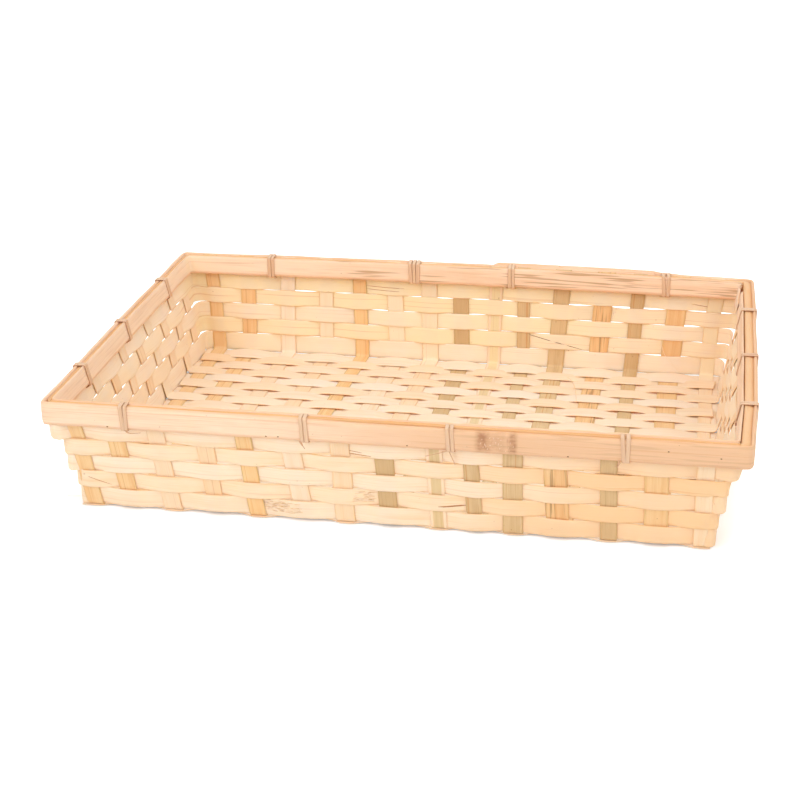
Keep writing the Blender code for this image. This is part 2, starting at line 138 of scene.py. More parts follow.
# The rim is thinner along the left and front walls: how far its inner parts move outward
LEFT_SQUEEZE = 0.0030
FRONT_SQUEEZE = 0.0026
LEFT_SQUEEZE_SPAN = (0.15, 0.2)
FRONT_SQUEEZE_SPAN = (0.1, 0.14)
CORE_SQUEEZE_SHARES = (0.8, 0.5, 0.15)
SQUEEZED_CORE_SHARE = 0.5
STAKE_TOP_TRIM = 0.0735
STAKE_TOP_TRIM_SHARE = 0.15

# A strip's section: places across as shares of its half width, and the face's height there
# as a share of its half thickness
ACROSS_SHARES = (-0.95, -0.72, -0.43, -0.14, 0.14, 0.43, 0.72, 0.95)


def section_shares(edge_face_share):
    """Points round a strip's section, whose faces are lower beside the two edges."""
    edge = max(ACROSS_SHARES)
    upper = [(side, edge_face_share if abs(side) == edge else 1.0) for side in ACROSS_SHARES]
    lower = [(side, -face) for side, face in reversed(upper)]
    return ((-1.0, 0.0), *upper, (1.0, 0.0), *lower)


STRIP_SECTION = section_shares(0.75)
CORE_SECTION = section_shares(0.94)
HOOP_SECTION = section_shares(0.62)
SLIVER_SECTION = ((-1.0, 0.0), (0.0, 1.0), (1.0, 0.0), (0.0, -1.0))

# Stakes and cross stakes: split faces, tones, painted light on the paler ones at the back, folds, ends
SPLIT_STAKES = (12,)
STAKE_TINT_SPAN = (0.0, 0.6)
STAKE_TINTS = {8: 0.3, 11: -0.8, 13: -0.1, 14: -0.2, 15: 0.2}
PALE_SLOTS = ("pale_bamboo", "cream_bamboo")
PALE_STAKE_GLOW = 1.6
BACK_SPAN = (0.13, 0.145)
BASE_TINT_SPAN = (-1.0, 0.3)
CROSS_TINT_SPAN = (-1.0, 0.6)
FOLD_SHARE = 0.8
BEND_STEPS = 6
RISER_WIDTH_SHARE = 0.93
RISER_TOP_TRIM = 0.0012

# Cut ends of base strips
CUT_END_REACH = (0.0008, 0.0036)
CUT_END_RISE_SHARE = 1.3
CUT_END_SLANT = 0.1
CUT_END_TINT_SPAN = (-0.6, 0.4)

# Weaver rows: joints, tones, painted light and shade, and widths
ROW_JOINT_STAKES = {1: 3, 2: 12, 3: 5, 4: 10, 5: 13}
JOINT_LAP = 0.022
ROW_TINT_SPAN = (-0.5, 0.1)
ROW_TINT_WANDER = (0.16, 0.35)
ROW_FRONT_SPAN = (-0.1, -0.14)
FRONT_RIGHT_SPAN = (-0.05, 0.18)
# Painted shade: rows warmer towards the right of the front wall
FRONT_RIGHT_PAINTED_SHADE = 1.4
# Painted light: rows paler off the front wall, and paler still at the back, up to the lit-through colour
SIDES_AND_BACK_PAINTED_LIGHT = 0.35
BACK_GLOW = 0.65
BACK_GLOW_SPAN = (0.1, 0.14)
GLOW_LOSS = 0.4
GLOW_LOSS_SPAN = (0.0, 0.2)
LEAST_ROW_TINT = -1.5
ROW_LEFT_SPAN = (0.17, 0.19)
ROW_BACK_SPAN = (0.12, 0.14)
ROW_BACK_LEFT_SPAN = (-0.03, 0.05)
LAP_RISE = 0.0008
TOP_ROW_RISE = 0.0030
BOTTOM_ROW_DROP = 0.0022
FRONT_DROP_LOSS = 0.6
STRIP_END_LEAST = 0.0016
STRIP_END_REACH = 0.0014
OUTER_LANE_REACH = 0.0042
LEFT_ROW_EXTRA = 0.0009
BACK_ROW_EXTRA = 0.0005
CORNER_TURN_SPAN = (0.011, 0.003)
FRONT_LEFT_BOWS = (0.0035, 0.0, 0.0, -0.0012, -0.001)

# Hoops and core: ends, wanders, tones, painted shade towards the right of the outer hoop, and the bamboo's
# joint on the front of the outer hoop
FRONT_SPAN = (-0.13, -0.15)
HOOP_WANDER = (0.05, 0.0002)
OUTER_LAP_SHARE = 0.9
OUTER_LAP_SPAN = (-0.03, 0.0)
OUTER_RISE_SPAN = (-0.006, 0.004)
OUTER_END_LENGTH = 0.004
OUTER_END_CUT = 0.002
HOOP_JOINT = 0.0695
HOOP_JOINT_REACH = 0.014
HOOP_JOINT_SWELL = 0.0006
HOOP_STAINS = ((0.0605, 0.0090, 0.75), (0.0800, 0.0060, 0.7), (0.0700, 0.0150, 0.35))
HOOP_STAIN_CORE_SHARE = 0.2
# Painted shade: the outer hoop warmer towards the right of the front and along the right wall
OUTER_FRONT_PAINTED_SHADE_TINTS = (-0.35, 1.0)
OUTER_FRONT_PAINTED_SHADE_SPAN = (-0.16, 0.08)
OUTER_REST_TINT = -0.25
OUTER_TINT_WANDER = (0.08, 0.3)
OUTER_RIGHT_PAINTED_SHADE = 1.2
OUTER_RIGHT_SPAN = (0.2, 0.22)
OUTER_WEARS = (0.1, 0.2)
OUTER_WEAR_SPAN = (0.03, 0.06)
INNER_LAP_SHARES = (1.6, 0.8)
INNER_POINT_SHARE = 0.9
INNER_POINT_THICKNESS_SHARE = 0.3
INNER_POINT_LENGTH = 0.006
INNER_STREAK_SPAN = (-0.13, -0.08)
INNER_WEARS = (0.15, 0.7)
INNER_TINT = -0.3
INNER_CLEAR_TINT = -0.8
INNER_TINT_WANDER = (0.1, 0.4)
CORE_TINT_WANDER = (0.06, 0.8)
CORE_TOP_WANDER = (0.06, 0.0002)
CORE_SIDE_WANDER = (0.03, 0.00012)

# Ties
TIE_WIDTH = 0.0026
TIE_THICKNESS = 0.00055
TIE_BEND = 0.0011
TIE_PITCH = 0.0028
TIE_RISE_OFFSET = -0.001
INNER_RIM_BOTTOM = 0.0633
TIE_GAP_SHARE = 0.6
TIE_BEND_MOST_SHARE = 1.2
TIE_SLANT = 0.0003
TIE_DIP_SHARE = 0.8
TIE_RAG = 0.5
TIE_TINT = 0.3
TIE_TURNS = 2
TIE_TURN_COUNTS = {"back_2": 3}
TIE_SPREADS = {
    "front_1": (0.0030, 0.0020),
    "front_4": (0.0036, 0.0022),
    "back_2": (0.0032, 0.0026),
    "back_4": (0.0040, 0.0026),
    "left_2": (0.0030, 0.0022),
}
TAIL_WIDTH = 0.0016
TAIL_THICKNESS_SHARE = 0.8
TAIL_TINT = 1.0
TIE_TAILS = {
    "front_1": (((0.001, 0.0004, 0.0615), (0.004, 0.0012, 0.0597), (0.0115, 0.0008, 0.0603)),),
    "front_2": (((-0.002, 0.0004, 0.0615), (0.0, 0.0016, 0.0592), (0.0015, 0.0014, 0.0568)),),
    "front_3": (
        ((-0.001, 0.0004, 0.0615), (-0.005, 0.0012, 0.0602), (-0.0145, 0.0004, 0.0568)),
        ((0.0, 0.0002, 0.0612), (0.0015, -0.001, 0.057), (0.0035, -0.0035, 0.0505)),
    ),
    "front_4": (((-0.002, 0.0004, 0.0620), (-0.0035, 0.0016, 0.0595), (-0.0055, 0.0014, 0.0585)),),
}
STRAND_STEPS = 8
STRAND_TAPER = 0.6
STEEP_SINE = 0.2
SLIVER_STEPS = 6
SLIVER_THICKNESS = 0.00022
SLIVER_END_SHARES = (0.3, 0.4)
FACES = {"front": 1, "back": -1}

# Cracks: row, wall, (place, height) of both ends, width, finish
CRACKS = (
    (4, "front", (-0.2060, 0.0262), (-0.1853, 0.0172), 0.0004, "brown_fibre"),
    (4, "front", (0.0320, 0.0186), (0.0495, 0.0200), 0.0010, "brown_fibre"),
    (4, "front", (0.0380, 0.0187), (0.0495, 0.0200), 0.0005, "dark_fibre"),
    (1, "front", (-0.0310, 0.0525), (-0.0100, 0.0520), 0.0005, "brown_fibre"),
    (1, "front", (-0.0290, 0.0545), (-0.0160, 0.0538), 0.0004, "brown_fibre"),
    (4, "back", (0.0530, 0.0262), (0.0985, 0.0162), 0.00045, "dark_fibre"),
    (1, "back", (-0.0760, 0.0545), (-0.0480, 0.0538), 0.0004, "brown_fibre"),
    (1, "back", (-0.0760, 0.0568), (-0.0440, 0.0562), 0.0004, "brown_fibre"),
    (1, "back", (0.1800, 0.0560), (0.2000, 0.0530), 0.0004, "brown_fibre"),
)

# Frayed patches: row or hoop, wall, lowest and highest (place, height), count of fibres,
# their reach (along, across), width, finish
FRAY_SHARES = (0.4, 1.0)
FRAYS = (
    (5, "front", (-0.0850, 0.0055), (-0.0600, 0.0138), 60, (0.0045, 0.0), 0.0003, "gold_bamboo"),
    (5, "front", (-0.0850, 0.0055), (-0.0600, 0.0138), 44, (0.0035, 0.0), 0.0003, "pale_bamboo"),
    (4, "front", (-0.0240, 0.0180), (-0.0110, 0.0258), 34, (0.0040, 0.0), 0.0003, "gold_bamboo"),
    (4, "front", (-0.0240, 0.0180), (-0.0110, 0.0258), 22, (0.0030, 0.0), 0.0003, "pale_bamboo"),
    (2, "back", (0.1205, 0.0415), (0.1245, 0.0490), 14, (0.0006, 0.0014), 0.0004, "pale_bamboo"),
    ("hoop", "front", (0.0640, 0.0625), (0.0785, 0.0720), 30, (0.0005, 0.0016), 0.0003, "stain_fibre"),
    ("hoop", "front", (0.0590, 0.0630), (0.0800, 0.0720), 24, (0.0004, 0.0012), 0.0003, "pale_bamboo"),
)

# Flecks on the front of the outer hoop, as (x, z)
SPECK_LENGTH = 0.0011
SPECK_WIDTH = 0.0007
SPECKS = (
    (-0.1812, 0.0628), (-0.0772, 0.0632), (-0.0694, 0.0634), (0.0130, 0.0630),
    (0.1130, 0.0625), (0.1737, 0.0700), (0.2050, 0.0675),
)

# Loose fibres: points, width, finish
STRAYS = (
    (((0.1583, 0.15, 0.0287), (0.164, 0.147, 0.015), (0.176, 0.14, 0.0062), (0.1885, 0.132, 0.0046)),
     0.0005, "pale_bamboo"),
    (((0.09, 0.121, 0.0045), (0.0945, 0.108, 0.0062), (0.0985, 0.09, 0.0064), (0.101, 0.069, 0.0044)),
     0.0005, "gold_bamboo"),
    (((-0.206, -0.154, 0.0085), (-0.211, -0.156, 0.009), (-0.215, -0.157, 0.01)),
     0.0006, "pale_bamboo"),
)

# Seeds of the random draws, and how far apart the strips lie in the grain's own space
STAKE_SEED = 100
LANE_SEED = 200
ROW_SEED = 300
CUT_END_SEED = 400
FRAY_SEED = 500
OUTER_HOOP_SEED = 31
INNER_HOOP_SEED = 32
STAKE_GRAIN_STEP = 3.1
LANE_GRAIN_STEP = 2.3
ROW_GRAIN_STEP = 1.7
CUT_END_GRAIN_STEP = 5.0
CORE_GRAIN_STEP = 11.0
TIE_GRAIN_REACH = 9.0

# Light that soaks through thin bamboo
THROUGH_SHARE = 0.35
THROUGH_RADIUS = (1.0, 0.85, 0.5)
THROUGH_REACH = 0.0012

# Stage and light
FLOOR_SIZE = 6.0
FLOOR_DROP = 0.0002
FLOOR_WHITE = 0.95
FLOOR_ROUGHNESS = 0.9
# Painted light: the floor's camera-only glow, warm red inside the basket's outline, white and stronger
# further out
FLOOR_GLOW_COLOUR = (2.0, 0.4, 0.06, 1.0)
GLOW_COLOUR_SPAN = (0.82, 0.91)
GLOW_SPAN = (0.88, 1.06)
GLOW_STRENGTHS = (0.2, 0.5)
WHITE = (1.0, 1.0, 1.0, 1.0)
WORLD_STRENGTH = 0.65
LAMP_TARGET = (0.0, 0.0, 0.03)
LAMPS = (
    ("key", (-1.2, -2.2, 1.65), 1.6, 24.0),
    ("fill", (1.7, -1.0, 1.8), 1.4, 13.0),
    ("top", (0.0, -0.3, 2.3), 1.4, 10.0),
    ("back", (-0.2, 2.1, 1.3), 1.4, 6.0),
)

SLOTS = {part["node"]: part["material_slot"] for part in frame["record"]["subparts"]}


def add_camera():
    """The photograph's view, with no shift."""
    azimuth = math.radians(CAMERA_AZIMUTH)
    elevation = math.radians(CAMERA_ELEVATION)
    roll = math.radians(CAMERA_ROLL)
    level = Vector((math.sin(azimuth), math.cos(azimuth), 0))
    forward = level * math.cos(elevation) - Vector((0, 0, math.sin(elevation)))
    side = forward.cross(Vector((0, 0, 1))).normalized()
    top = side.cross(forward)
    right = side * math.cos(roll) + top * math.sin(roll)
    up = top * math.cos(roll) - side * math.sin(roll)
    data = bpy.data.cameras.new("camera")
    data.lens = CAMERA_LENS
    data.sensor_width = CAMERA_SENSOR
    camera = bpy.data.objects.new("camera", data)
    bpy.context.scene.collection.objects.link(camera)
    matrix = Matrix((right, up, -forward)).transposed().to_4x4()
    matrix.translation = Vector(CAMERA_PLACE)
    camera.matrix_world = matrix
    bpy.context.scene.camera = camera


UP = np.array((0.0, 0.0, 1.0))


def node_points(name):
    """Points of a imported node, one row each."""
    mesh = frame["nodes"][name].data
    points = np.empty(len(mesh.vertices) * 3, np.float32)
    mesh.vertices.foreach_get("co", points)
    return points.reshape(-1, 3).astype(float)


class Wall:
    """The sloping middle surface of the four walls, read from the rim's long core."""

    def __init__(self):
        points = node_points("rim_core_long")
        bottom, top = points[:, 2].min(), points[:, 2].max()
        middle = (bottom + top) / 2
        low = np.abs(points[points[:, 2] < middle, :2]).max(axis=0)
        high = np.abs(points[points[:, 2] > middle, :2]).max(axis=0)
        self.slope = (high - low) / (top - bottom)
        self.at_floor = high + CORE_FACE_INSET - self.slope * top
        hoop_low, hoop_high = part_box("rim_outer_hoop")
        self.rim_bottom = hoop_low.z
        self.top = hoop_high.z

    def half(self, z):
        """Half length and half width of the middle surface at height z."""
        return self.at_floor + self.slope * z


WALL = Wall()


def smooth(value, start, end):
    """Smooth step from 0 at start to 1 at end."""
    share = np.clip((value - start) / (end - start), 0, 1)
    return share * share * (3 - 2 * share)


def by_place(table, place):
    """Value of a table of (place, value) at each place."""
    return np.interp(place, [row[0] for row in table], [row[1] for row in table])


def settle(points):
    """Moves points as the hand-made basket departs from straight walls, by up to 3 mm."""
    x, y, z = points.T
    rim = smooth(z, *RIM_SPAN)
    near_right_wall = smooth(x - WALL.half(0)[0] - WALL.slope[0] * z, *TUCK_SPAN)
    rise = smooth(y, *BACK_RISE_SPAN) * np.clip(z / WALL.top, 0, 1) ** BACK_RISE_POWER
    moved = points.copy()
    moved[:, 0] += rim * smooth(x, *END_WALL_SPAN) * by_place(RIGHT_BOW, y)
    moved[:, 0] -= rim * smooth(-x, *END_WALL_SPAN) * by_place(LEFT_BOW, y)
    moved[:, 0] -= (1 - rim) * near_right_wall * by_place(RIGHT_TUCK, y)
    moved[:, 2] += rise * by_place(BACK_RISE, x)
    return moved


def tighten(points, share):
    """Moves parts inside the rim outward along the left and front walls, and says where."""
    at_left = smooth(-points[:, 0], *LEFT_SQUEEZE_SPAN)
    at_front = smooth(-points[:, 1], *FRONT_SQUEEZE_SPAN)
    points[:, 0] -= LEFT_SQUEEZE * share * at_left
    points[:, 1] -= FRONT_SQUEEZE * share * at_front
    return np.maximum(at_left, at_front)


class Ring:
    """A rounded rectangle round the walls at one height, travelled counter-clockwise."""

    onward = ((1, 0), (0, 1), (-1, 0), (0, -1))
    outward = ((0, -1), (1, 0), (0, 1), (-1, 0))
    sides = ("front", "right", "back", "left")

    def __init__(self, level, offset, radius, stands=False):
        self.level = level
        self.radius = radius
        self.stands = stands
        self.reach = WALL.half(WALL.top if stands else level) + offset
        self.straights = 2 * (self.reach - radius)
        self.arc = radius * math.pi / 2
        self.length = 2 * self.straights.sum() + 4 * self.arc

    def side_start(self, side):
        index = self.sides.index(side)
        return sum(self.straights[i % 2] + self.arc for i in range(index))

    def travel_at(self, side, coordinate):
        """Travel to the point of one wall that has this x or y."""
        index = self.sides.index(side)
        along = coordinate * sum(self.onward[index])
        return self.side_start(side) + self.straights[index % 2] / 2 + along

    def place(self, travel):
        """Point, way onward and way outward at this travel, as flat vectors."""
        travel %= self.length
        for index in range(4):
            straight = self.straights[index % 2]
            onward = np.array(self.onward[index], float)
            outward = np.array(self.outward[index], float)
            reach = self.reach[1 - index % 2]
            if travel <= straight:
                return outward * reach + onward * (travel - straight / 2), onward, outward
            travel -= straight
            if travel <= self.arc:
                angle = travel / self.radius
                centre = outward * (reach - self.radius) + onward * straight / 2
                turned = outward * math.cos(angle) + onward * math.sin(angle)
                heading = onward * math.cos(angle) - outward * math.sin(angle)
                return centre + turned * self.radius, heading, turned
            travel -= self.arc
        return self.place(0)

    def stations(self, travels):
        """Centres, ways up the wall and ways outward at each travel, as arrays."""
        centres, uprights, normals = [], [], []
        for travel in travels:
            flat, onward, _ = self.place(travel)
            lean = np.clip(flat / (self.reach - self.radius), -1, 1) * WALL.slope
            if self.stands:
                lean = lean * 0
            upright = np.array((*lean, 1.0))
            upright /= np.linalg.norm(upright)
            normals.append(np.cross((*onward, 0.0), upright))
            uprights.append(upright)
            centres.append((*flat, self.level))
        return np.array(centres), np.array(uprights), np.array(normals)

    def band(self, start, length, section):
        """A strip along this ring, from one travel on for this length."""
        travels = start + np.linspace(0, length, int(length / RING_STEP))
        band = Band(*self.stations(travels), section)
        band.travel = travels
        return band

    def stand_at_corners(self, band):
        """Turns a strip upright where it goes round the corners."""
        from_corner = (self.reach - np.abs(band.centres[:, :2])).max(axis=1)
        share = smooth(from_corner, *CORNER_TURN_SPAN)[:, None]
        band.across = band.across * (1 - share) + UP * share
        band.across /= np.linalg.norm(band.across, axis=1)[:, None]
        lean = (band.normals * band.across).sum(axis=1)[:, None]
        band.normals = band.normals - band.across * lean
        band.normals /= np.linalg.norm(band.normals, axis=1)[:, None]


def ring_of(node, offset, radius, stands=False):
    """The ring at a node's middle height, and the node's height."""
    low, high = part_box(node)
    return Ring((low.z + high.z) / 2, offset, radius, stands), high.z - low.z


def ease(share):
    """Smooth step from 0 to 1 that rests a little at both ends."""
    inner = (share - EASE_MARGIN_SHARE) / (1 - 2 * EASE_MARGIN_SHARE)
    return (1 - np.cos(np.pi * np.clip(inner, 0, 1))) / 2


def wander(rng, places, length, size):
    """A smooth random line through places, in steps of length."""
    steps = (places - places.min()) / length
    heights = rng.uniform(-1, 1, int(steps.max()) + 3)
    index = steps.astype(int)
    share = smooth(steps - index, 0, 1)
    return size * (heights[index] * (1 - share) + heights[index + 1] * share)


def weave(places, knots):
    """Offset of a woven strip at each place, and how near the place is to a crossing."""
    at, values = np.array(knots).T
    index = np.clip(np.searchsorted(at, places) - 1, 0, len(at) - 2)
    share = np.clip((places - at[index]) / (at[index + 1] - at[index]), 0, 1)
    offset = values[index] + (values[index + 1] - values[index]) * ease(share)
    return offset, ease(np.abs(2 * share - 1))


class Band:
    """Stations of one strip: centres, ways across, ways of the face, edges and thickness."""

    def __init__(self, centres, across, normals, section=STRIP_SECTION):
        self.centres = np.array(centres, float)
        self.across = np.array(across, float)
        self.normals = np.array(normals, float)
        self.section = section
        count = len(self.centres)
        self.low = np.zeros(count)
        self.high = np.zeros(count)
        self.thickness = np.full(count, STRIP_THICKNESS)
        self.crown = np.full(count, STRIP_CROWN)
        self.relief = np.zeros((count, len(section)))
        self.start = 0.0
        self.tint = np.zeros(count)
        self.wear = np.zeros(count)
        self.measure()

    def measure(self):
        gaps = np.linalg.norm(np.diff(self.centres, axis=0), axis=1)
        self.travel = np.concatenate(([0.0], np.cumsum(gaps)))

    def set_width(self, widths, rng, rag=1.0):
        """Edges at half the width or widths each side, each with its own wander."""
        for edge in ("low", "high"):
            line = wander(rng, self.travel, *EDGE_WANDER)
            line = line + wander(rng, self.travel, EDGE_RAG_LENGTH, EDGE_RAG * rag)
            setattr(self, edge, widths / 2 + line)

    def roughen(self, rng, size):
        """Ridges and hollows along the faces."""
        for place in range(len(self.section)):
            self.relief[:, place] = wander(rng, self.travel, RELIEF_LENGTH, size)

    def shift(self, amount):
        """Moves the stations along their faces' normals."""
        self.centres += self.normals * np.asarray(amount)[:, None]

    def slide(self, amount):
        """Moves the stations sideways in their own faces."""
        self.centres += self.across * np.asarray(amount)[:, None]

    def points(self):
        """Every point of the strip, and beside it travel, place across and edge share."""
        points, grain = [], []
        for (side, face), relief in zip(self.section, self.relief.T):
            edge = np.where(side < 0, self.low, self.high) * side
            rise = face * self.thickness / 2 + self.crown * (1 - side * side) + relief
            points.append(self.centres + self.across * edge[:, None] + self.normals * rise[:, None])
            grain.append(np.stack((self.travel + self.start, edge, np.full_like(edge, side)), axis=1))
        return [np.stack(rows, axis=1).reshape(-1, 3) for rows in (points, grain)]

    def faces(self):
        around = len(self.section)
        last = (len(self.centres) - 1) * around
        found = []
        for first in range(0, last, around):
            for corner in range(around):
                after = (corner + 1) % around
                second = first + around
                found.append((first + corner, second + corner, second + after, first + after))
        return [*found, tuple(range(around)), tuple(reversed(range(last, last + around)))]

    def spot(self, travel, place, face):
        """Point and outward way on one face, at a travel and a place across in metres."""
        centre, across, normal = (
            np.array([np.interp(travel, self.travel, line[:, axis]) for axis in range(3)])
            for line in (self.centres, self.across, self.normals)
        )
        normal /= np.linalg.norm(normal)
        half = np.interp(travel, self.travel, self.high)
        share = np.clip(place / half, -1, 1)
        thickness = np.interp(travel, self.travel, self.thickness)
        rise = face * thickness / 2 + STRIP_CROWN * (1 - share * share)
        return centre + across * place + normal * rise, normal * face


def build(name, material, bands):
    """A smooth piece on the basket's body, made of one or more bands."""
    points, faces, grain, tint, wear = [], [], [], [], []
    count = 0
    for band in bands:
        around = len(band.section)
        for rows, found in zip((points, grain), band.points()):
            rows.append(found)
        faces += [tuple(count + corner for corner in face) for face in band.faces()]
        tint.append(np.repeat(band.tint, around))
        wear.append(np.repeat(band.wear, around))
        count += len(band.centres) * around
    mesh = bpy.data.meshes.new(name)
    mesh.from_pydata(settle(np.concatenate(points)).tolist(), [], faces)
    mesh.update()
    mesh.shade_smooth()
    mesh.materials.append(material)
    for label, kind, field, values in (
        ("grain", "FLOAT_VECTOR", "vector", grain),
        ("tint", "FLOAT", "value", tint),
        ("wear", "FLOAT", "value", wear),
    ):
        layer = mesh.attributes.new(label, kind, "POINT")
        layer.data.foreach_set(field, np.concatenate(values).astype(np.float32).ravel())
    piece = bpy.data.objects.new(name, mesh)
    bpy.context.scene.collection.objects.link(piece)
    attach(piece, "root")
    return piece


class Graph:
    """The node tree of a material or world, with short calls for the nodes used here."""

    def __init__(self, owner, shader):
        owner.use_nodes = True
        self.tree = owner.node_tree
        self.shader = self.tree.nodes[shader]

    def feed(self, socket, value):
        if isinstance(value, bpy.types.NodeSocket):
            self.tree.links.new(value, socket)
        else:
            socket.default_value = value

    def add(self, kind, *values, **settings):
        """Adds a node, with settings and with values for its first inputs, and gives its outputs."""
        node = self.tree.nodes.new("ShaderNode" + kind)
        for name, value in settings.items():
            setattr(node, name, value)
        for socket, value in zip(node.inputs, values):
            self.feed(socket, value)
        return node.outputs

    def math(self, operation, *values):
        return self.add("Math", *values, operation=operation)[0]

    def span(self, value, low, high, to_low=0.0, to_high=1.0):
        """Maps a range smoothly onto another and holds it outside."""
        return self.add("MapRange", value, low, high, to_low, to_high, interpolation_type="SMOOTHSTEP")[0]

    def mix(self, share, first, second):
        node = self.tree.nodes.new("ShaderNodeMix")
        node.data_type = "RGBA"
        self.feed(node.inputs[0], share)
        colours = [socket for socket in node.inputs if socket.type == "RGBA"]
        for socket, colour in zip(colours, (first, second)):
            self.feed(socket, colour)
        return next(socket for socket in node.outputs if socket.type == "RGBA")

    def lay(self, under, over, value, start, end, share):
        """Lays one colour over another as a value goes from start to end, up to a share."""
        return self.mix(self.span(value, start, end, 0.0, share), under, over)

    def attribute(self, name, output):
        return self.add("Attribute", attribute_name=name)[output]

    def noise(self, along, across, along_scale, across_scale, layer, detail):
        """Noise drawn out along the fibres; the scales are waves per metre."""
        along = self.math("MULTIPLY", along, along_scale)
        across = self.math("MULTIPLY", across, across_scale)
        point = self.add("CombineXYZ", along, across, layer)[0]
        node = self.tree.nodes.new("ShaderNodeTexNoise")
        self.feed(node.inputs["Vector"], point)
        self.feed(node.inputs["Scale"], 1.0)
        self.feed(node.inputs["Detail"], detail)
        return node.outputs[0]

    def bump(self, height, strength, distance):
        node = self.tree.nodes.new("ShaderNodeBump")
        self.feed(node.inputs["Strength"], strength)
        self.feed(node.inputs["Distance"], distance)
        self.feed(node.inputs["Height"], height)
        self.shade("Normal", node.outputs[0])

    def shade(self, name, value):
        """Feeds one input of the shader."""
        self.feed(self.shader.inputs[name], value)


# The standard curve between sRGB and linear colour
BYTE_MOST = 255
TOE_END = 0.04045
TOE_SLOPE = 12.92
CURVE_OFFSET = 0.055
CURVE_POWER = 2.4


def rgb(*values):
    """Linear colour of an sRGB colour given in 0 to 255."""
    linear = []
    for value in values:
        share = value / BYTE_MOST
        curved = ((share + CURVE_OFFSET) / (1 + CURVE_OFFSET)) ** CURVE_POWER
        linear.append(share / TOE_SLOPE if share <= TOE_END else curved)
    return (*linear, 1.0)


# Each finish, colours in 0 to 255: body, its warm and its pale fibres, the strip's edges, their own
# colour and in part painted contact shade where strips lie on each other; the share of dark fibre lines,
# the share of the edges' colour, and where from the middle it starts
FINISHES = {
    "pale_bamboo": ((254, 225, 196), (249, 207, 162), (254, 234, 212), (243, 192, 140), 0.2, 0.6, 0.94),
    "cream_bamboo": ((254, 221, 187), (249, 203, 152), (254, 232, 204), (240, 186, 130), 0.3, 0.6, 0.94),
    "gold_bamboo": ((243, 198, 144), (222, 156, 90), (249, 216, 168), (216, 176, 118), 0.6, 0.4, 0.85),
    "tan_bamboo": ((247, 205, 153), (232, 174, 112), (251, 219, 172), (220, 184, 128), 0.4, 0.5, 0.85),
    "orange_bamboo": ((250, 208, 154), (240, 178, 110), (252, 220, 174), (206, 178, 122), 0.35, 0.7, 0.88),
    "olive_bamboo": ((223, 190, 143), (196, 158, 108), (234, 207, 163), (196, 166, 116), 0.6, 0.4, 0.85),
    "green_heart_bamboo": (
        (234, 206, 160), (216, 182, 130), (242, 218, 174), (253, 220, 188), 0.3, 1.0, 0.62,
    ),
    "tie_bamboo": ((230, 192, 158), (208, 160, 124), (240, 208, 176), (196, 146, 110), 0.4, 0.6, 0.88),
    "hoop_bamboo": ((253, 217, 186), (231, 186, 144), (254, 229, 202), (234, 182, 136), 0.25, 0.5, 0.92),
    "core_bamboo": ((250, 206, 154), (234, 176, 114), (252, 218, 174), (222, 164, 110), 0.5, 0.5, 0.8),
    "stain_fibre": ((234, 184, 144), (218, 162, 120), (240, 196, 158), (222, 166, 124), 0.2, 0.3, 0.9),
    "dark_fibre": ((132, 82, 44), (104, 60, 30), (160, 104, 60), (110, 66, 34), 0.3, 0.3, 0.9),
    "brown_fibre": ((206, 142, 92), (180, 114, 66), (220, 160, 112), (180, 116, 70), 0.3, 0.3, 0.9),
}
NODE_FINISHES = {
    "rim_outer_hoop": "hoop_bamboo",
    "rim_inner_hoop": "hoop_bamboo",
    "long_stake_09": "green_heart_bamboo",
    "rim_core_long": "core_bamboo",
    "rim_core_short": "core_bamboo",
}
LINE_COLOUR = rgb(206, 142, 80)
STREAK_COLOUR = rgb(178, 138, 92)
# Stain colour: real stains round the hoop's joint, and in part painted shade at the outer hoop's right
STAIN_AND_SHADE_COLOUR = rgb(176, 118, 80)
LIT_THROUGH_COLOUR = rgb(255, 232, 184)
# Painted shade along the hoops' lower edge, for the shade of their underside
UNDERSIDE_SHADE_COLOUR = rgb(232, 188, 150)
UNDERSIDE_SHADE_SHARES = {"hoop_bamboo": 0.55}
SPECK_COLOUR = rgb(158, 102, 58)

# Noises drawn out along the fibres: waves per metre along and across, layer, detail
NOISES = {
    "broad": (9.0, 170.0, 1.3, 2.0),
    "fibre": (22.0, 1300.0, 5.1, 2.0),
    "thread": (60.0, 3600.0, 9.7, 2.0),
    "mottle": (70.0, 110.0, 17.9, 3.0),
    "blotch": (260.0, 420.0, 53.9, 2.0),
    "line": (6.0, 760.0, 23.3, 2.0),
    # The stain noise only spreads the edges' band, which is in part painted contact shade
    "stain": (14.0, 60.0, 31.7, 2.0),
    "groove": (24.0, 620.0, 47.3, 1.0),
    "speck": (380.0, 620.0, 41.1, 0.0),
}

# Tones laid over the body colour in turn: what leads each, its start and end, share, colour
TONES = (
    ("fibre", 0.5, 0.78, 0.7, "warm"),
    ("broad", 0.46, 0.72, 0.45, "warm"),
    ("thread", 0.5, 0.75, 0.5, "pale"),
    ("mottle", 0.5, 0.8, 0.3, "pale"),
    ("tint", 0.0, 1.0, 0.8, "warm"),
    ("tint", 0.0, -1.0, 0.6, "pale"),
)
STAIN_AND_SHADE_TINTS = (1.0, 2.0)
STAIN_AND_SHADE_BLOTCHES = (0.3, 0.66, 0.5, 1.0)
LIT_THROUGH_TONE = (-1.0, -2.0, 1.0)
LINE_SPAN = (0.64, 0.7)
EDGE_BAND_SPREAD_MIDDLE = 0.5
EDGE_BAND_SPREAD_REACH = 0.3
EDGE_BLUR = 0.06
UNDERSIDE_SHADE_SPAN = (-0.66, -0.82)
GROOVE_TONE = (0.56, 0.68, 0.0, 0.75)
SPECK_TONE = (0.86, 0.89, 0.45)
ROUGHNESSES = (0.2, 0.8, 0.62, 0.48)
GLOSS = 0.3
THREAD_RELIEF_SHARE = 0.4
GROOVE_RELIEF_SHARE = 0.8
BUMP_STRENGTH = 0.35
BUMP_HEIGHT = 0.0002


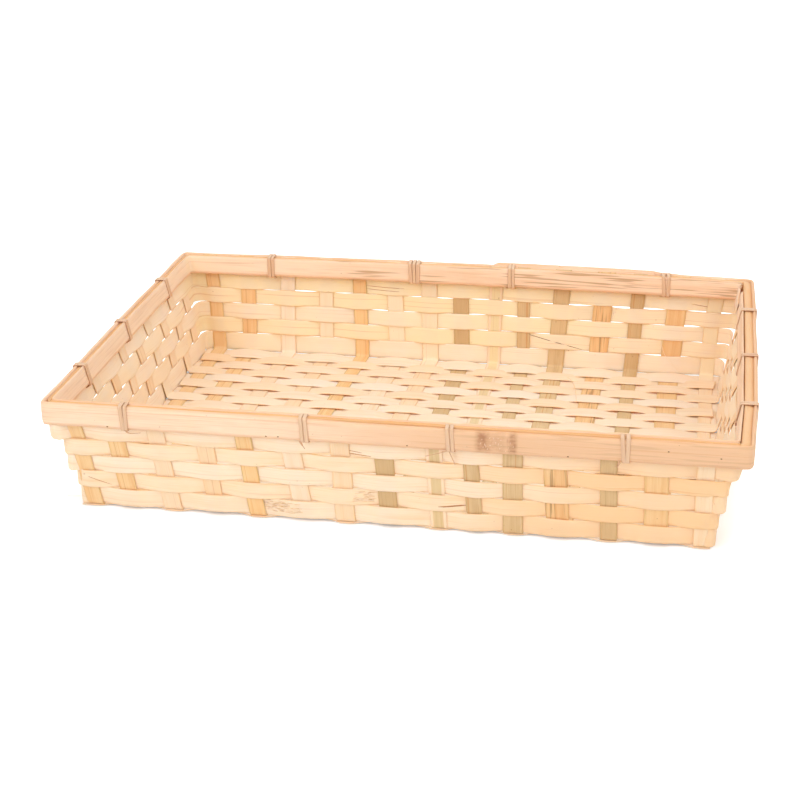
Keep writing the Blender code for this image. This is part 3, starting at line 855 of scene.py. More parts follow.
def bamboo(finish):
    """Split bamboo: fibres lengthwise, broad tones, fine dark lines, worn streaks, rare specks, and
    painted light and shade laid by tint, on the edges and along the hoops' lower edge.
    """
    body, warm, pale, edge_and_contact_shade_colour = (rgb(*values) for values in FINISHES[finish][:4])
    line_share, edge_share, edge_from = FINISHES[finish][4:]
    material = bpy.data.materials.new(finish)
    graph = Graph(material, "Principled BSDF")
    along, across, edge = graph.add("SeparateXYZ", graph.attribute("grain", "Vector"))
    leads = {label: graph.noise(along, across, *scales) for label, scales in NOISES.items()}
    leads["tint"] = graph.attribute("tint", "Fac")
    tones = {"warm": warm, "pale": pale}
    colour = body
    for lead, start, end, share, tone in TONES:
        colour = graph.lay(colour, tones[tone], leads[lead], start, end, share)
    # Tints from 1 to 2 lay the stain colour in blotches: real stains, and in part painted shade
    blotches = graph.span(leads["blotch"], *STAIN_AND_SHADE_BLOTCHES)
    stain_and_shade = graph.math("MULTIPLY", graph.span(leads["tint"], *STAIN_AND_SHADE_TINTS), blotches)
    colour = graph.mix(stain_and_shade, colour, STAIN_AND_SHADE_COLOUR)
    colour = graph.lay(colour, LIT_THROUGH_COLOUR, leads["tint"], *LIT_THROUGH_TONE)
    colour = graph.lay(colour, LINE_COLOUR, leads["line"], *LINE_SPAN, line_share)
    # The edges' colour: the bamboo's own edges, and in part painted contact shade where strips lie on each
    # other
    spread = graph.math("SUBTRACT", leads["stain"], EDGE_BAND_SPREAD_MIDDLE)
    spread = graph.math("MULTIPLY", spread, EDGE_BAND_SPREAD_REACH)
    reach = graph.math("ADD", graph.math("ABSOLUTE", edge), spread)
    edge_span = (edge_from - EDGE_BLUR, edge_from + EDGE_BLUR)
    colour = graph.lay(colour, edge_and_contact_shade_colour, reach, *edge_span, edge_share)
    # Painted shade: hoops darker along the lower edge
    if finish in UNDERSIDE_SHADE_SHARES:
        colour = graph.lay(colour, UNDERSIDE_SHADE_COLOUR, edge, *UNDERSIDE_SHADE_SPAN, UNDERSIDE_SHADE_SHARES[finish])
    worn = graph.attribute("wear", "Fac")
    grooves = graph.math("MULTIPLY", graph.span(leads["groove"], *GROOVE_TONE), worn)
    colour = graph.mix(grooves, colour, STREAK_COLOUR)
    colour = graph.lay(colour, SPECK_COLOUR, leads["speck"], *SPECK_TONE)
    graph.shade("Base Color", colour)
    graph.shade("Roughness", graph.span(leads["fibre"], *ROUGHNESSES))
    graph.shade("Specular IOR Level", GLOSS)
    graph.shade("Subsurface Weight", THROUGH_SHARE)
    graph.shade("Subsurface Radius", THROUGH_RADIUS)
    graph.shade("Subsurface Scale", THROUGH_REACH)
    threads = graph.math("MULTIPLY", leads["thread"], THREAD_RELIEF_SHARE)
    hollows = graph.math("MULTIPLY", grooves, GROOVE_RELIEF_SHARE)
    relief = graph.math("SUBTRACT", graph.math("ADD", leads["fibre"], threads), hollows)
    graph.bump(relief, BUMP_STRENGTH, BUMP_HEIGHT)
    return material


MATERIALS = {}


def finish_of(finish):
    """A finish's material, made once."""
    if finish not in MATERIALS:
        MATERIALS[finish] = bamboo(finish)
    return MATERIALS[finish]


def dress(node, label, bands):
    """The piece that stands for one node of the part, in that node's finish."""
    piece = build(f"{node}_{label}", finish_of(NODE_FINISHES.get(node, SLOTS[node])), bands)
    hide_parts(node)


def trim(name, finish, bands):
    """A small piece that lies on others, such as a fibre or a crack."""
    build(name, finish_of(finish), bands)


class Upright:
    """A strip that runs across the base and up two opposite walls: where it lies at each end."""

    def __init__(self, node, run):
        across = 1 - run
        points = node_points(node)
        self.top = points[:, 2].max()
        self.folds, self.tops = {}, {}
        width = []
        for facing in (-1, 1):
            half = points[points[:, run] * facing > FOLD_SHARE * points[:, run].max()]
            high = half[half[:, 2] > self.top - END_BAND, across]
            low = half[half[:, 2] < half[:, 2].min() + END_BAND, across]
            self.tops[facing] = (high.min() + high.max()) / 2
            self.folds[facing] = (low.min() + low.max()) / 2
            width.append(high.max() - high.min())
        self.width = sum(width) / len(width)

    def place_on_wall(self, facing, z):
        share = (z - MID_LEVEL) / (self.top - MID_LEVEL)
        return self.folds[facing] + (self.tops[facing] - self.folds[facing]) * share

    def place_on_base(self, run_share):
        """Place on the base at a share from -1 to 1 of the way between the folds."""
        middle = (run_share + 1) / 2
        return self.folds[-1] * (1 - middle) + self.folds[1] * middle


STAKES = {n: Upright(f"long_stake_{n:02d}", 1) for n in range(1, STAKE_COUNT + 1)}
RISERS = {n: Upright(f"cross_stake_{n:02d}", 0) for n in range(2, LANE_COUNT, 2)}


def lane_node(number):
    return f"base_strip_{number:02d}" if number % 2 else f"cross_stake_{number:02d}"


def lane_place(number):
    """Middle and width of a base strip's lane, taken from the node."""
    points = node_points(lane_node(number))
    low = points[points[:, 2] < points[:, 2].min() + END_BAND, 1]
    return (low.min() + low.max()) / 2, low.max() - low.min()


def flat_end(run):
    """Where the flat stretch of a folded strip ends, from the middle of the base."""
    angle = math.atan2(1, WALL.slope[run])
    return WALL.half(MID_LEVEL)[run] - FOLD_RADIUS * math.tan(angle / 2)


def fold_line(run, top):
    """Half of a folded strip's line: (run, height, inward run, inward height) from the middle.

    run is 0 for strips that climb the end walls and 1 for those that climb the long walls.
    """
    angle = math.atan2(1, WALL.slope[run])
    flat = flat_end(run)
    count = int(flat / STATION_STEP)
    line = [(flat * step / count, MID_LEVEL, 0.0, 1.0) for step in range(count)]
    for step in range(BEND_STEPS + 1):
        turn = angle * step / BEND_STEPS
        reach = flat + FOLD_RADIUS * math.sin(turn)
        height = MID_LEVEL + FOLD_RADIUS * (1 - math.cos(turn))
        line.append((reach, height, -math.sin(turn), math.cos(turn)))
    start = line[-1][1]
    count = int((top - start) / STATION_STEP)
    for step in range(1, count + 1):
        height = start + (top - start) * step / count
        line.append((WALL.half(height)[run], height, -math.sin(angle), math.cos(angle)))
    return line


def folded_band(run, top, place_at):
    """Stations of a strip over the base and up both walls. place_at gives its place across."""
    half = fold_line(run, top)
    centres, normals = [], []
    for facing, line in ((-1, half[:0:-1]), (1, half)):
        for reach, height, inward_run, inward_height in line:
            point = [0.0, 0.0, height]
            normal = [0.0, 0.0, inward_height]
            point[run] = facing * reach
            normal[run] = facing * inward_run
            point[1 - run] = place_at(facing, facing * reach, height)
            centres.append(point)
            normals.append(normal)
    across = np.zeros((len(centres), 3))
    across[:, 1 - run] = 1
    return Band(centres, across, normals)


def finish_strip(band, rng, drift, start, tints):
    """Drift, relief, where the grain starts and tone of a woven strip."""
    band.slide(wander(rng, band.travel, DRIFT_LENGTH, drift))
    band.roughen(rng, STRIP_RELIEF)
    band.start = start
    band.tint[:] = rng.uniform(*tints)


def long_stakes():
    """Stakes that run from the front rim, across the base, to the back rim."""
    flat = flat_end(1)
    for number, stake in STAKES.items():

        def place_at(facing, reach, height, stake=stake):
            if height > MID_LEVEL + FOLD_RADIUS / 2:
                return stake.place_on_wall(facing, height)
            return stake.place_on_base(np.clip(reach / flat, -1, 1))

        rng = np.random.default_rng(STAKE_SEED + number)
        node = f"long_stake_{number:02d}"
        band = folded_band(1, stake.top, place_at)
        above = (band.centres[:, 2] > STAKE_TOP_TRIM) & (band.centres[:, 1] < 0)
        excess = band.centres[above, 2] - STAKE_TOP_TRIM
        band.centres[above, 2] = STAKE_TOP_TRIM + excess * STAKE_TOP_TRIM_SHARE
        band.set_width(stake.width, rng)
        finish_strip(band, rng, DRIFT / 2, STAKE_GRAIN_STEP * number, STAKE_TINT_SPAN)
        band.tint += STAKE_TINTS.get(number, 0.0)
        # Painted light: pale stakes paler at the back, up to the lit-through colour
        if SLOTS[node] in PALE_SLOTS:
            band.tint -= smooth(band.centres[:, 1], *BACK_SPAN) * PALE_STAKE_GLOW
        if number in SPLIT_STAKES:
            band.wear[:] = 1.0
        dress(node, "bent", [band])


def over_stake(lane, stake):
    """Whether a base strip passes over a long stake."""
    if lane in BENEATH_LANES and stake in (1, STAKE_COUNT):
        return False
    return (lane + stake) % 2 == 1


def lane_knots(lane, y, rng):
    """Crossings (x, offset) of a base strip with the long stakes; overs arch up by turns."""
    knots = []
    for number, stake in STAKES.items():
        arch = rng.uniform(*ARCH_RISES)
        offset = BASE_LANE + arch if over_stake(lane, number) else -BASE_LANE
        knots.append((stake.place_on_base(y / flat_end(1)), offset))
    return knots


def lane_widths(width, offset, nearness):
    """A base strip spreads where it arches over a stake, and under it beneath its neighbours."""
    crossing = np.where(offset > 0, LANE_CROSSING_SHARE, LANE_UNDER_SHARE)
    return width * (LANE_BETWEEN_SHARE + (crossing - LANE_BETWEEN_SHARE) * nearness)


def flat_band(xs, y, heights, slant=0.0):
    """Stations of a strip along x on the base."""
    count = len(xs)
    centres = np.stack((xs, np.full(count, y), np.full(count, heights)), axis=1)
    return Band(centres, np.tile((slant, 1, 0), (count, 1)), np.tile((0, 0, 1), (count, 1)))


def base_strips():
    """Odd strips, cut off just past the outermost stakes."""
    for lane in range(1, LANE_COUNT + 1, 2):
        rng = np.random.default_rng(LANE_SEED + lane)
        node = lane_node(lane)
        y, width = lane_place(lane)
        knots = lane_knots(lane, y, rng)
        left = -flat_end(0) - STRIP_END_LEAST - rng.uniform(0, STRIP_END_REACH)
        right = flat_end(0) + STRIP_END_LEAST + rng.uniform(0, STRIP_END_REACH)
        xs = np.linspace(left, right, int((right - left) / STATION_STEP) + 2)
        band = flat_band(xs, y, MID_LEVEL)
        offset, nearness = weave(xs, knots)
        band.shift(offset)
        band.set_width(lane_widths(width, offset, nearness), rng)
        if lane == 1:
            band.low += OUTER_LANE_REACH
        if lane == LANE_COUNT:
            band.high += OUTER_LANE_REACH
        finish_strip(band, rng, DRIFT, LANE_GRAIN_STEP * lane, BASE_TINT_SPAN)
        dress(node, "woven", [band])


def cross_stakes():
    """Even strips, which run on up both end walls."""
    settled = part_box("weaver_row_5")[1].z
    for lane, riser in RISERS.items():
        rng = np.random.default_rng(LANE_SEED + lane)
        node = lane_node(lane)
        y, width = lane_place(lane)
        knots = lane_knots(lane, y, rng)
        end_level = -BASE_LANE if lane in BENEATH_LANES else BASE_LANE
        knots[0] = (knots[0][0], end_level)
        knots[-1] = (knots[-1][0], end_level)

        def place_at(facing, reach, height, riser=riser):
            return riser.place_on_wall(facing, max(height, MID_LEVEL))

        band = folded_band(0, riser.top - RISER_TOP_TRIM, place_at)
        offset, nearness = weave(band.centres[:, 0], knots)
        rise = np.clip((band.centres[:, 2] - MID_LEVEL) / (settled - MID_LEVEL), 0, 1)
        offset = offset * (1 - rise)
        band.shift(offset)
        band.measure()
        widths = lane_widths(width, offset, nearness)
        band.set_width(np.where(rise > 0, width * RISER_WIDTH_SHARE, widths), rng)
        finish_strip(band, rng, DRIFT, LANE_GRAIN_STEP * lane, CROSS_TINT_SPAN)
        dress(node, "bent", [band])


def cut_ends():
    """Strip ends that lie over the outermost stakes, where an end stake comes up from beneath."""
    for lane in BENEATH_LANES:
        y, width = lane_place(lane)
        depth = y / flat_end(1)
        for facing, outer, inner in ((-1, 1, 2), (1, STAKE_COUNT, STAKE_COUNT - 1)):
            rng = np.random.default_rng(CUT_END_SEED + lane + facing)
            over = STAKES[outer].place_on_base(depth)
            under = STAKES[inner].place_on_base(depth)
            end = over + facing * (STAKES[outer].width / 2 + rng.uniform(*CUT_END_REACH))
            xs = np.linspace(under, end, int(abs(end - under) / STATION_STEP) * 2)
            knots = [(facing * under, -LANE / 2), (facing * over, LANE * CUT_END_RISE_SHARE)]
            offset, _ = weave(facing * xs, knots)
            band = flat_band(xs, y, MID_LEVEL + offset, rng.uniform(-CUT_END_SLANT, CUT_END_SLANT))
            band.set_width(width * LANE_CROSSING_SHARE, rng)
            band.roughen(rng, STRIP_RELIEF)
            band.start = lane + CUT_END_GRAIN_STEP * facing
            band.tint[:] = rng.uniform(*CUT_END_TINT_SPAN)
            side = "left" if facing < 0 else "right"
            trim(f"cut_end_{side}_{lane:02d}", "cream_bamboo", [band])


def goes_outside(side, stake, row):
    """Whether a weaver row passes outside a stake of one wall."""
    even = (stake + row) % 2 == 0
    return even if side == "back" else not even


def row_knots(row, ring):
    """Crossings (travel, offset) of a weaver with the stakes of all four walls, in ring order."""
    knots = []
    walls = (
        ("front", -1, STAKES, 1),
        ("back", 1, STAKES, 1),
        ("right", 1, RISERS, 2),
        ("left", -1, RISERS, 2),
    )
    for side, facing, uprights, step in walls:
        for number, upright in uprights.items():
            travel = ring.travel_at(side, upright.place_on_wall(facing, ring.level))
            sign = 1 if goes_outside(side, number // step, row) else -1
            knots.append((travel, sign * LANE))
    for side in ring.sides:
        corner = ring.side_start(side) - ring.arc / 2
        beside = "right" if side in ("right", "back") else "left"
        near = LANE_COUNT // 2 if side in ("right", "front") else 1
        sign = 1 if goes_outside(beside, near, row) else -1
        bow = FRONT_LEFT_BOWS[row - 1] if side == "front" else CORNER_BOW
        knots.append((corner % ring.length, sign * LANE / 2 + bow))
    return sorted(knots)


def row_widths(row, band, height, nearness):
    """A row's widths: more over the stakes and along parts of the left and back walls."""
    x, y, _ = band.centres.T
    at_left = smooth(-x, *ROW_LEFT_SPAN)
    at_back = smooth(y, *ROW_BACK_SPAN) * smooth(-x, *ROW_BACK_LEFT_SPAN)
    between_share = BETWEEN_WIDTH_SHARES[row - 1]
    share = between_share + (CROSSING_WIDTH_SHARE - between_share) * nearness
    return height * share + at_left * LEFT_ROW_EXTRA + at_back * BACK_ROW_EXTRA * (1 - at_left)


def tone_row(band):
    """A row is warmer at the right of the front, as painted shade, and paler inside and lit through at the
    back, as painted light.
    """
    x, y, _ = band.centres.T
    on_front = smooth(y, *ROW_FRONT_SPAN)
    glow = smooth(y, *BACK_GLOW_SPAN) * (1 - GLOW_LOSS * smooth(x, *GLOW_LOSS_SPAN))
    band.tint += on_front * smooth(x, *FRONT_RIGHT_SPAN) * FRONT_RIGHT_PAINTED_SHADE
    band.tint -= (1 - on_front) * SIDES_AND_BACK_PAINTED_LIGHT + glow * BACK_GLOW
    band.tint = np.clip(band.tint, LEAST_ROW_TINT, 1.0)


def weavers():
    """Rows that go round the walls, outside and inside the stakes by turns."""
    bands = {}
    for row in range(1, ROW_COUNT + 1):
        rng = np.random.default_rng(ROW_SEED + row)
        node = f"weaver_row_{row}"
        ring, height = ring_of(node, 0.0, WALL_CORNER_RADIUS)
        start = ring.travel_at("back", STAKES[ROW_JOINT_STAKES[row]].place_on_wall(1, ring.level))
        band = ring.band(start, ring.length + JOINT_LAP, STRIP_SECTION)
        knots = row_knots(row, ring)
        loops = [(place + turn * ring.length, value) for turn in range(-1, 3) for place, value in knots]
        offset, nearness = weave(band.travel, loops)
        lap = np.clip((band.travel - start - ring.length + JOINT_LAP) / (2 * JOINT_LAP), 0, 1)
        ring.stand_at_corners(band)
        band.shift(offset + np.sign(offset) * WEAVER_BOW * nearness + LAP_RISE * ease(lap))
        band.set_width(row_widths(row, band, height / band.across[0, 2], nearness), rng)
        if row == 1:
            band.high += TOP_ROW_RISE
        if row == ROW_COUNT:
            loss = FRONT_DROP_LOSS * smooth(band.centres[:, 1], *FRONT_SPAN)
            band.low += BOTTOM_ROW_DROP * (1 - loss)
        finish_strip(band, rng, DRIFT, ROW_GRAIN_STEP * row, ROW_TINT_SPAN)
        band.tint += wander(rng, band.travel, *ROW_TINT_WANDER)
        tone_row(band)
        dress(node, "woven", [band])
        bands[row] = (band, ring)
    return bands


def tone_outer_hoop(band, x, on_front, rng):
    """The outer hoop is warmer at the right, as painted shade, and has stains round the bamboo's joint in
    front.
    """
    least, more = OUTER_FRONT_PAINTED_SHADE_TINTS
    front_shade_tint = least + (more - least) * smooth(x, *OUTER_FRONT_PAINTED_SHADE_SPAN)
    band.tint[:] = on_front * front_shade_tint + OUTER_REST_TINT * (1 - on_front)
    band.tint += wander(rng, band.travel, *OUTER_TINT_WANDER)
    band.tint += smooth(x, *OUTER_RIGHT_SPAN) * (1 - on_front) * OUTER_RIGHT_PAINTED_SHADE
    for middle, half, depth in HOOP_STAINS:
        near = smooth(np.abs(x - middle), half, half * HOOP_STAIN_CORE_SHARE) * on_front
        band.tint = np.maximum(band.tint, near * (1 + depth))
    least, more = OUTER_WEARS
    band.wear[:] = least + more * on_front * smooth(x, *OUTER_WEAR_SPAN)


def outer_hoop():
    """The outside hoop stands upright, and its two ends lap at the back."""
    rng = np.random.default_rng(OUTER_HOOP_SEED)
    ring, height = ring_of("rim_outer_hoop", OUTER_HOOP_OFFSET, OUTER_HOOP_RADIUS, stands=True)
    start = ring.travel_at("back", OUTER_LAP_START)
    length = ring.length + OUTER_LAP_START - OUTER_LAP_END
    band = ring.band(start, length, HOOP_SECTION)
    x, y, _ = band.centres.T.copy()
    on_front = smooth(y, *FRONT_SPAN)
    past = band.travel - start - ring.length
    past_most = length - ring.length
    band.thickness[:] = OUTER_HOOP_THICKNESS
    band.shift(ease(smooth(past, *OUTER_LAP_SPAN)) * OUTER_HOOP_THICKNESS * OUTER_LAP_SHARE)
    band.shift(wander(rng, band.travel, *HOOP_WANDER))
    band.set_width(height, rng)
    band.roughen(rng, HOOP_RELIEF)
    band.high -= on_front * by_place(FRONT_DIP, x)
    band.high += smooth(past, *OUTER_RISE_SPAN) * OUTER_LAP_RISE
    band.high -= smooth(past, past_most - OUTER_END_LENGTH, past_most) * OUTER_END_CUT
    joint = smooth(np.abs(x - HOOP_JOINT), HOOP_JOINT_REACH, 0.0) * on_front
    band.thickness += joint * HOOP_JOINT_SWELL
    tone_outer_hoop(band, x, on_front, rng)
    dress("rim_outer_hoop", "strip", [band])
    return band, ring


def inner_hoop():
    """The inside hoop leans with the walls; its pointed start laps over its end."""
    rng = np.random.default_rng(INNER_HOOP_SEED)
    ring, height = ring_of("rim_inner_hoop", INNER_HOOP_OFFSET, INNER_HOOP_RADIUS)
    start = ring.travel_at("right", INNER_LAP_START) - INNER_LAP_LENGTH
    band = ring.band(start, ring.length + INNER_LAP_LENGTH / 2, HOOP_SECTION)
    x, y, _ = band.centres.T.copy()
    gone = band.travel - start
    lap_end, lap_start = (INNER_LAP_LENGTH * share for share in INNER_LAP_SHARES)
    band.thickness[:] = INNER_HOOP_THICKNESS
    band.shift(-ease(smooth(gone, lap_end, lap_start)) * INNER_HOOP_THICKNESS)
    band.shift(wander(rng, gone, *HOOP_WANDER))
    band.set_width(height / band.across[0, 2], rng)
    band.roughen(rng, HOOP_RELIEF)
    tighten(band.centres, 1.0)
    band.high *= smooth(gone, 0.0, INNER_LAP_LENGTH * INNER_POINT_SHARE)
    least = INNER_POINT_THICKNESS_SHARE
    band.thickness *= least + (1 - least) * smooth(gone, 0.0, INNER_POINT_LENGTH)
    on_back = smooth(y, *BACK_SPAN)
    streaked = smooth(x, *INNER_STREAK_SPAN)
    least, more = INNER_WEARS
    band.wear[:] = least + more * on_back * streaked
    band.tint[:] = wander(rng, gone, *INNER_TINT_WANDER)
    band.tint += INNER_TINT + INNER_CLEAR_TINT * on_back * (1 - streaked)
    dress("rim_inner_hoop", "strip", [band])


def core_ends(node, ring):
    """Travels at which a length of core starts and ends."""
    if node == "rim_core_long":
        return ring.travel_at("back", CORE_JOINT), ring.travel_at("front", CORE_END) + ring.length
    return ring.travel_at("right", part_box(node)[0].y), ring.travel_at("back", CORE_JOINT)


def cores():
    """Filler between the hoops: a long length split in three thin runs and a short whole one."""
    for node, splits in CORE_SPLITS.items():
        bands = []
        for index, (offset, thickness) in enumerate(splits):
            rng = np.random.default_rng(len(node) + index)
            ring, height = ring_of(node, offset, CORE_RADIUS + offset - CORE_MIDDLE)
            start, end = core_ends(node, ring)
            band = ring.band(start, end - start, CORE_SECTION)
            squeezed = tighten(band.centres, CORE_SQUEEZE_SHARES[index])
            squeezed *= np.where(band.centres[:, 0] > 0, np.abs(band.normals[:, 1]), 1.0)
            band.thickness[:] = thickness * (1 - (1 - SQUEEZED_CORE_SHARE) * squeezed)
            band.set_width(height, rng)
            band.high += wander(rng, band.travel, *CORE_TOP_WANDER)
            band.shift(wander(rng, band.travel, *CORE_SIDE_WANDER))
            band.tint[:] = wander(rng, band.travel, *CORE_TINT_WANDER)
            band.start = CORE_GRAIN_STEP * index
            bands.append(band)
        dress(node, "split", bands)


def rounded_loop(corners, radius):
    """A closed path with round corners in the (reach, height) plane: (reach, height, normal)."""
    path = []
    count = len(corners)
    for index in range(count):
        before, corner, after = (np.array(corners[(index + step) % count]) for step in (-1, 0, 1))
        arriving = (corner - before) / np.linalg.norm(corner - before)
        leaving = (after - corner) / np.linalg.norm(after - corner)
        turn = math.acos(np.clip(arriving @ leaving, -1, 1))
        back = min(radius * math.tan(turn / 2), radius * TIE_BEND_MOST_SHARE)
        for share in np.linspace(0, 1, BEND_STEPS):
            first = corner - arriving * back * (1 - share)
            second = corner + leaving * back * share
            place = first * (1 - share) + second * share
            heading = arriving * (1 - share) + leaving * share
            heading /= np.linalg.norm(heading)
            path.append((*place, -heading[1], heading[0]))
    return path


def tie_corners(run, squeeze):
    """Corners of a tie's way round the rim of one wall, from the rise between the stakes."""
    half = [float(WALL.half(z)[1 - run]) for z in (WALL.top, WALL.rim_bottom, INNER_RIM_BOTTOM)]
    gap = TIE_THICKNESS * TIE_GAP_SHARE
    inner = INNER_HOOP_OFFSET - INNER_HOOP_THICKNESS / 2 - gap + squeeze
    outer = half[0] + OUTER_HOOP_OFFSET + OUTER_HOOP_THICKNESS / 2 + gap
    return (
        (half[1] + TIE_RISE_OFFSET, WALL.rim_bottom - gap),
        (half[2] + inner, INNER_RIM_BOTTOM - gap),
        (half[0] + inner, WALL.top + gap),
        (outer, WALL.top + gap),
        (outer, WALL.rim_bottom - gap),
    )


def tie_frame(node):
    """Where a tie lies: its wall's run, onward and outward ways, and its place along the wall."""
    side = node.split("_")[2]
    run = 0 if side in ("front", "back") else 1
    low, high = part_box(node)
    index = Ring.sides.index(side)
    onward = np.array((*Ring.onward[index], 0.0))
    outward = np.array((*Ring.outward[index], 0.0))
    return run, onward, outward, (low[run] + high[run]) / 2


def tie_bands(node):
    """A tie's band, wound round the rim from turn to turn, and its loose ends."""
    rng = np.random.default_rng(sum(map(ord, node)))
    run, onward, outward, place = tie_frame(node)
    label = node[len("rim_tie_"):]
    turns = TIE_TURN_COUNTS.get(label, TIE_TURNS)
    spread_top, spread_bottom = TIE_SPREADS.get(label, (TIE_PITCH, TIE_PITCH))
    squeeze = {"left": LEFT_SQUEEZE, "front": FRONT_SQUEEZE}.get(label.split("_")[0], 0.0)
    dip = by_place(FRONT_DIP, place) if "front" in label else 0.0
    loop = rounded_loop(tie_corners(run, squeeze), TIE_BEND)
    path = np.array(loop * turns + loop[:1])
    steps = np.linalg.norm(np.diff(path[:, :2], axis=0), axis=1)
    gone = np.concatenate(([0.0], np.cumsum(steps) / steps.sum()))
    slant = rng.uniform(-TIE_SLANT, TIE_SLANT)
    reach, height, out, rise = path.T[:, :, None]
    share = (height - WALL.rim_bottom) / (WALL.top - WALL.rim_bottom)
    spread = spread_bottom + (spread_top - spread_bottom) * share
    sideways = (gone[:, None] - 1 / 2) * turns * spread + slant * share
    level = height - dip * TIE_DIP_SHARE * np.maximum(share, 0)
    centres = outward * reach + onward * sideways + UP * level
    centres[:, run] += place
    band = Band(centres, np.tile(onward, (len(path), 1)), outward * out + UP * rise)
    band.thickness[:] = TIE_THICKNESS
    band.set_width(TIE_WIDTH, rng, TIE_RAG)
    band.start = rng.uniform(0, TIE_GRAIN_REACH)
    band.tint[:] = rng.uniform(-TIE_TINT, TIE_TINT)
    return [band, *(tie_tail(points, place, run, outward) for points in TIE_TAILS.get(label, ()))]


def ties():
    """Lashings of thin split bamboo round the rim."""
    for node in sorted(SLOTS):
        if node.startswith("rim_tie"):
            dress(node, "lashing", tie_bands(node))


def strand(points, width, thickness):
    """A thin fibre on a smooth curve through points."""
    points = np.array(points, float)
    places = np.linspace(0, len(points) - 1, STRAND_STEPS * (len(points) - 1) + 1)
    index = np.clip(places.astype(int), 0, len(points) - 2)
    share = (places - index)[:, None]
    padded = np.vstack((2 * points[0] - points[1], points, 2 * points[-1] - points[-2]))
    p0, p1, p2, p3 = (padded[index + step] for step in range(4))
    curve = 0.5 * (
        2 * p1 + (p2 - p0) * share + (2 * p0 - 5 * p1 + 4 * p2 - p3) * share ** 2
        + (3 * p1 - p0 - 3 * p2 + p3) * share ** 3
    )
    heading = np.gradient(curve, axis=0)
    heading /= np.linalg.norm(heading, axis=1)[:, None]
    across = np.cross(heading, UP)
    steep = np.linalg.norm(across, axis=1) < STEEP_SINE
    across[steep] = np.cross(heading[steep], (0.0, 1.0, 0.0))
    across /= np.linalg.norm(across, axis=1)[:, None]
    band = Band(curve, across, np.cross(across, heading), SLIVER_SECTION)
    taper = 1 - STRAND_TAPER * (places / places[-1]) ** 2
    band.low = band.high = taper * width / 2
    band.thickness[:] = thickness
    band.crown[:] = 0
    return band


def tie_tail(points, place, run, outward):
    """A loose end of a tie: (along, outward from the hoop's face, height) points."""
    face = WALL.half(WALL.top)[1 - run] + OUTER_HOOP_OFFSET + OUTER_HOOP_THICKNESS / 2
    found = []
    for along, out, height in points:
        point = outward * (face + out) + UP * height
        point[run] += place + along
        found.append(point)
    tail = strand(found, TAIL_WIDTH, TIE_THICKNESS * TAIL_THICKNESS_SHARE)
    tail.tint[:] = TAIL_TINT
    return tail


def sliver(band, start, end, width, face):
    """A thin crack or fibre on a strip's face, from one (travel, place across) to another."""
    spots = [band.spot(*place, face) for place in np.linspace(start, end, SLIVER_STEPS)]
    centres = np.array([spot for spot, _ in spots])
    normals = np.array([normal for _, normal in spots])
    centres += normals * SLIVER_THICKNESS / 4
    heading = np.gradient(centres, axis=0)
    across = np.cross(normals, heading)
    across /= np.linalg.norm(across, axis=1)[:, None]
    mark = Band(centres, across, normals, SLIVER_SECTION)
    taper = np.ones(SLIVER_STEPS)
    taper[0], taper[-1] = SLIVER_END_SHARES
    mark.low = mark.high = taper * width / 2
    mark.thickness[:] = SLIVER_THICKNESS
    mark.crown[:] = 0
    return mark


def on_strip(strip, side, place, z):
    """Travel and place across of a point of one wall, on a strip given with its ring."""
    band, ring = strip
    travel = ring.travel_at(side, place)
    while travel < band.travel[0]:
        travel += ring.length
    return travel, (z - ring.level) / band.across[0, 2]


def cracks(rows):
    """Cracks and split fibres of the weavers."""
    for number, (row, side, start, end, width, finish) in enumerate(CRACKS):
        ends = [on_strip(rows[row], side, *point) for point in (start, end)]
        mark = sliver(rows[row][0], *ends, width, FACES[side])
        trim(f"crack_{number:02d}", finish, [mark])


def frayed_patches(strips):
    """Patches of short torn fibres: the nodes of the bamboo."""
    for number, (strip, side, low, high, count, along, width, finish) in enumerate(FRAYS):
        rng = np.random.default_rng(FRAY_SEED + number)
        marks = []
        for _ in range(count):
            x, z = (rng.uniform(*span) for span in zip(low, high))
            travel, place = on_strip(strips[strip], side, x, z)
            length, rise = (rng.uniform(*FRAY_SHARES) * most for most in along)
            far_end = (travel + length, place + rise)
            marks.append(sliver(strips[strip][0], (travel, place), far_end, width, FACES[side]))
        trim(f"fray_{number:02d}", finish, marks)


def specks(hoop):
    """Dark flecks on the front of the outer hoop."""
    marks = []
    for x, z in SPECKS:
        travel, place = on_strip(hoop, "front", x, z)
        far_end = (travel + SPECK_LENGTH, place)
        marks.append(sliver(hoop[0], (travel, place), far_end, SPECK_WIDTH, FACES["front"]))
    trim("hoop_specks", "dark_fibre", marks)


def strays():
    """Loose fibres that stand off the weave."""
    for number, (points, width, finish) in enumerate(STRAYS):
        trim(f"stray_fibre_{number}", finish, [strand(points, width, width / 2)])


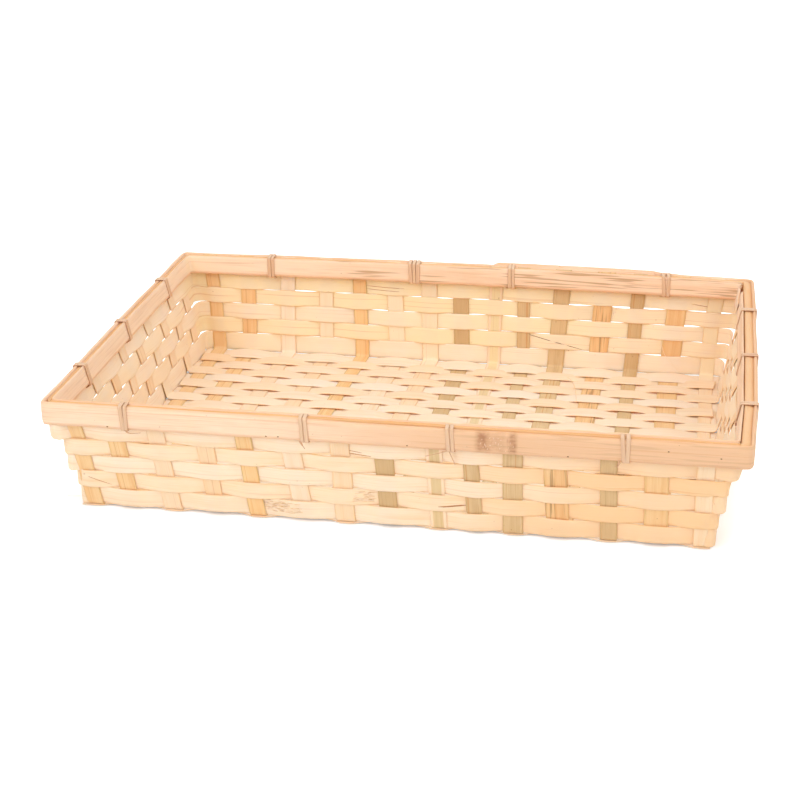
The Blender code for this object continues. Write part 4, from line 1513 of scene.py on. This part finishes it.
def floor_material():
    """A white floor that glows a little, to the camera only: warm red inside the basket's outline as
    painted bounce light seen through the base's gaps, and stronger further out, which paints light over
    the basket's shadow.
    """
    material = bpy.data.materials.new("floor")
    graph = Graph(material, "Principled BSDF")
    graph.shade("Base Color", (FLOOR_WHITE, FLOOR_WHITE, FLOOR_WHITE, 1))
    graph.shade("Roughness", FLOOR_ROUGHNESS)
    graph.shade("Specular IOR Level", 0.0)
    place = graph.add("SeparateXYZ", graph.add("NewGeometry")["Position"])
    shares = [
        graph.math("ABSOLUTE", graph.math("DIVIDE", axis, float(half)))
        for axis, half in zip(place, WALL.half(WALL.top))
    ]
    far = graph.math("MAXIMUM", *shares)
    colour = graph.lay(FLOOR_GLOW_COLOUR, WHITE, far, *GLOW_COLOUR_SPAN, 1.0)
    glow = graph.span(far, *GLOW_SPAN, *GLOW_STRENGTHS)
    seen = graph.add("LightPath")["Is Camera Ray"]
    graph.shade("Emission Color", colour)
    graph.shade("Emission Strength", graph.math("MULTIPLY", glow, seen))
    return material


def add_stage():
    """A plain floor that keeps the basket's shadow close by; further out its glow paints light over the
    shadow.
    """
    mesh = bpy.data.meshes.new("floor")
    half = FLOOR_SIZE / 2
    corners = [(-half, -half, 0), (half, -half, 0), (half, half, 0), (-half, half, 0)]
    mesh.from_pydata(corners, [], [(0, 1, 2, 3)])
    mesh.materials.append(floor_material())
    floor = bpy.data.objects.new("floor", mesh)
    floor.location.z = -FLOOR_DROP
    bpy.context.scene.collection.objects.link(floor)


def add_world():
    """A white world that lights from all round and shows white to the camera and in gloss."""
    world = bpy.data.worlds.new("studio")
    graph = Graph(world, "Background")
    rays = graph.add("LightPath")
    strength = WORLD_STRENGTH
    for ray in ("Is Camera Ray", "Is Glossy Ray", "Is Transmission Ray"):
        strength = graph.math("MAXIMUM", rays[ray], strength)
    graph.shade("Color", WHITE)
    graph.shade("Strength", strength)
    bpy.context.scene.world = world


def add_lamp(name, place, size, power):
    data = bpy.data.lights.new(name, "AREA")
    data.shape = "SQUARE"
    data.size = size
    data.energy = power
    lamp = bpy.data.objects.new(name, data)
    bpy.context.scene.collection.objects.link(lamp)
    lamp.location = place
    lamp.rotation_euler = (Vector(LAMP_TARGET) - Vector(place)).to_track_quat("-Z", "Y").to_euler()


def main():
    bpy.context.scene.view_settings.view_transform = "Standard"
    add_camera()
    long_stakes()
    base_strips()
    cross_stakes()
    cut_ends()
    rows = weavers()
    hoop = outer_hoop()
    inner_hoop()
    cores()
    ties()
    cracks(rows)
    frayed_patches({**rows, "hoop": hoop})
    specks(hoop)
    strays()
    add_stage()
    add_world()
    for lamp in LAMPS:
        add_lamp(*lamp)


main()
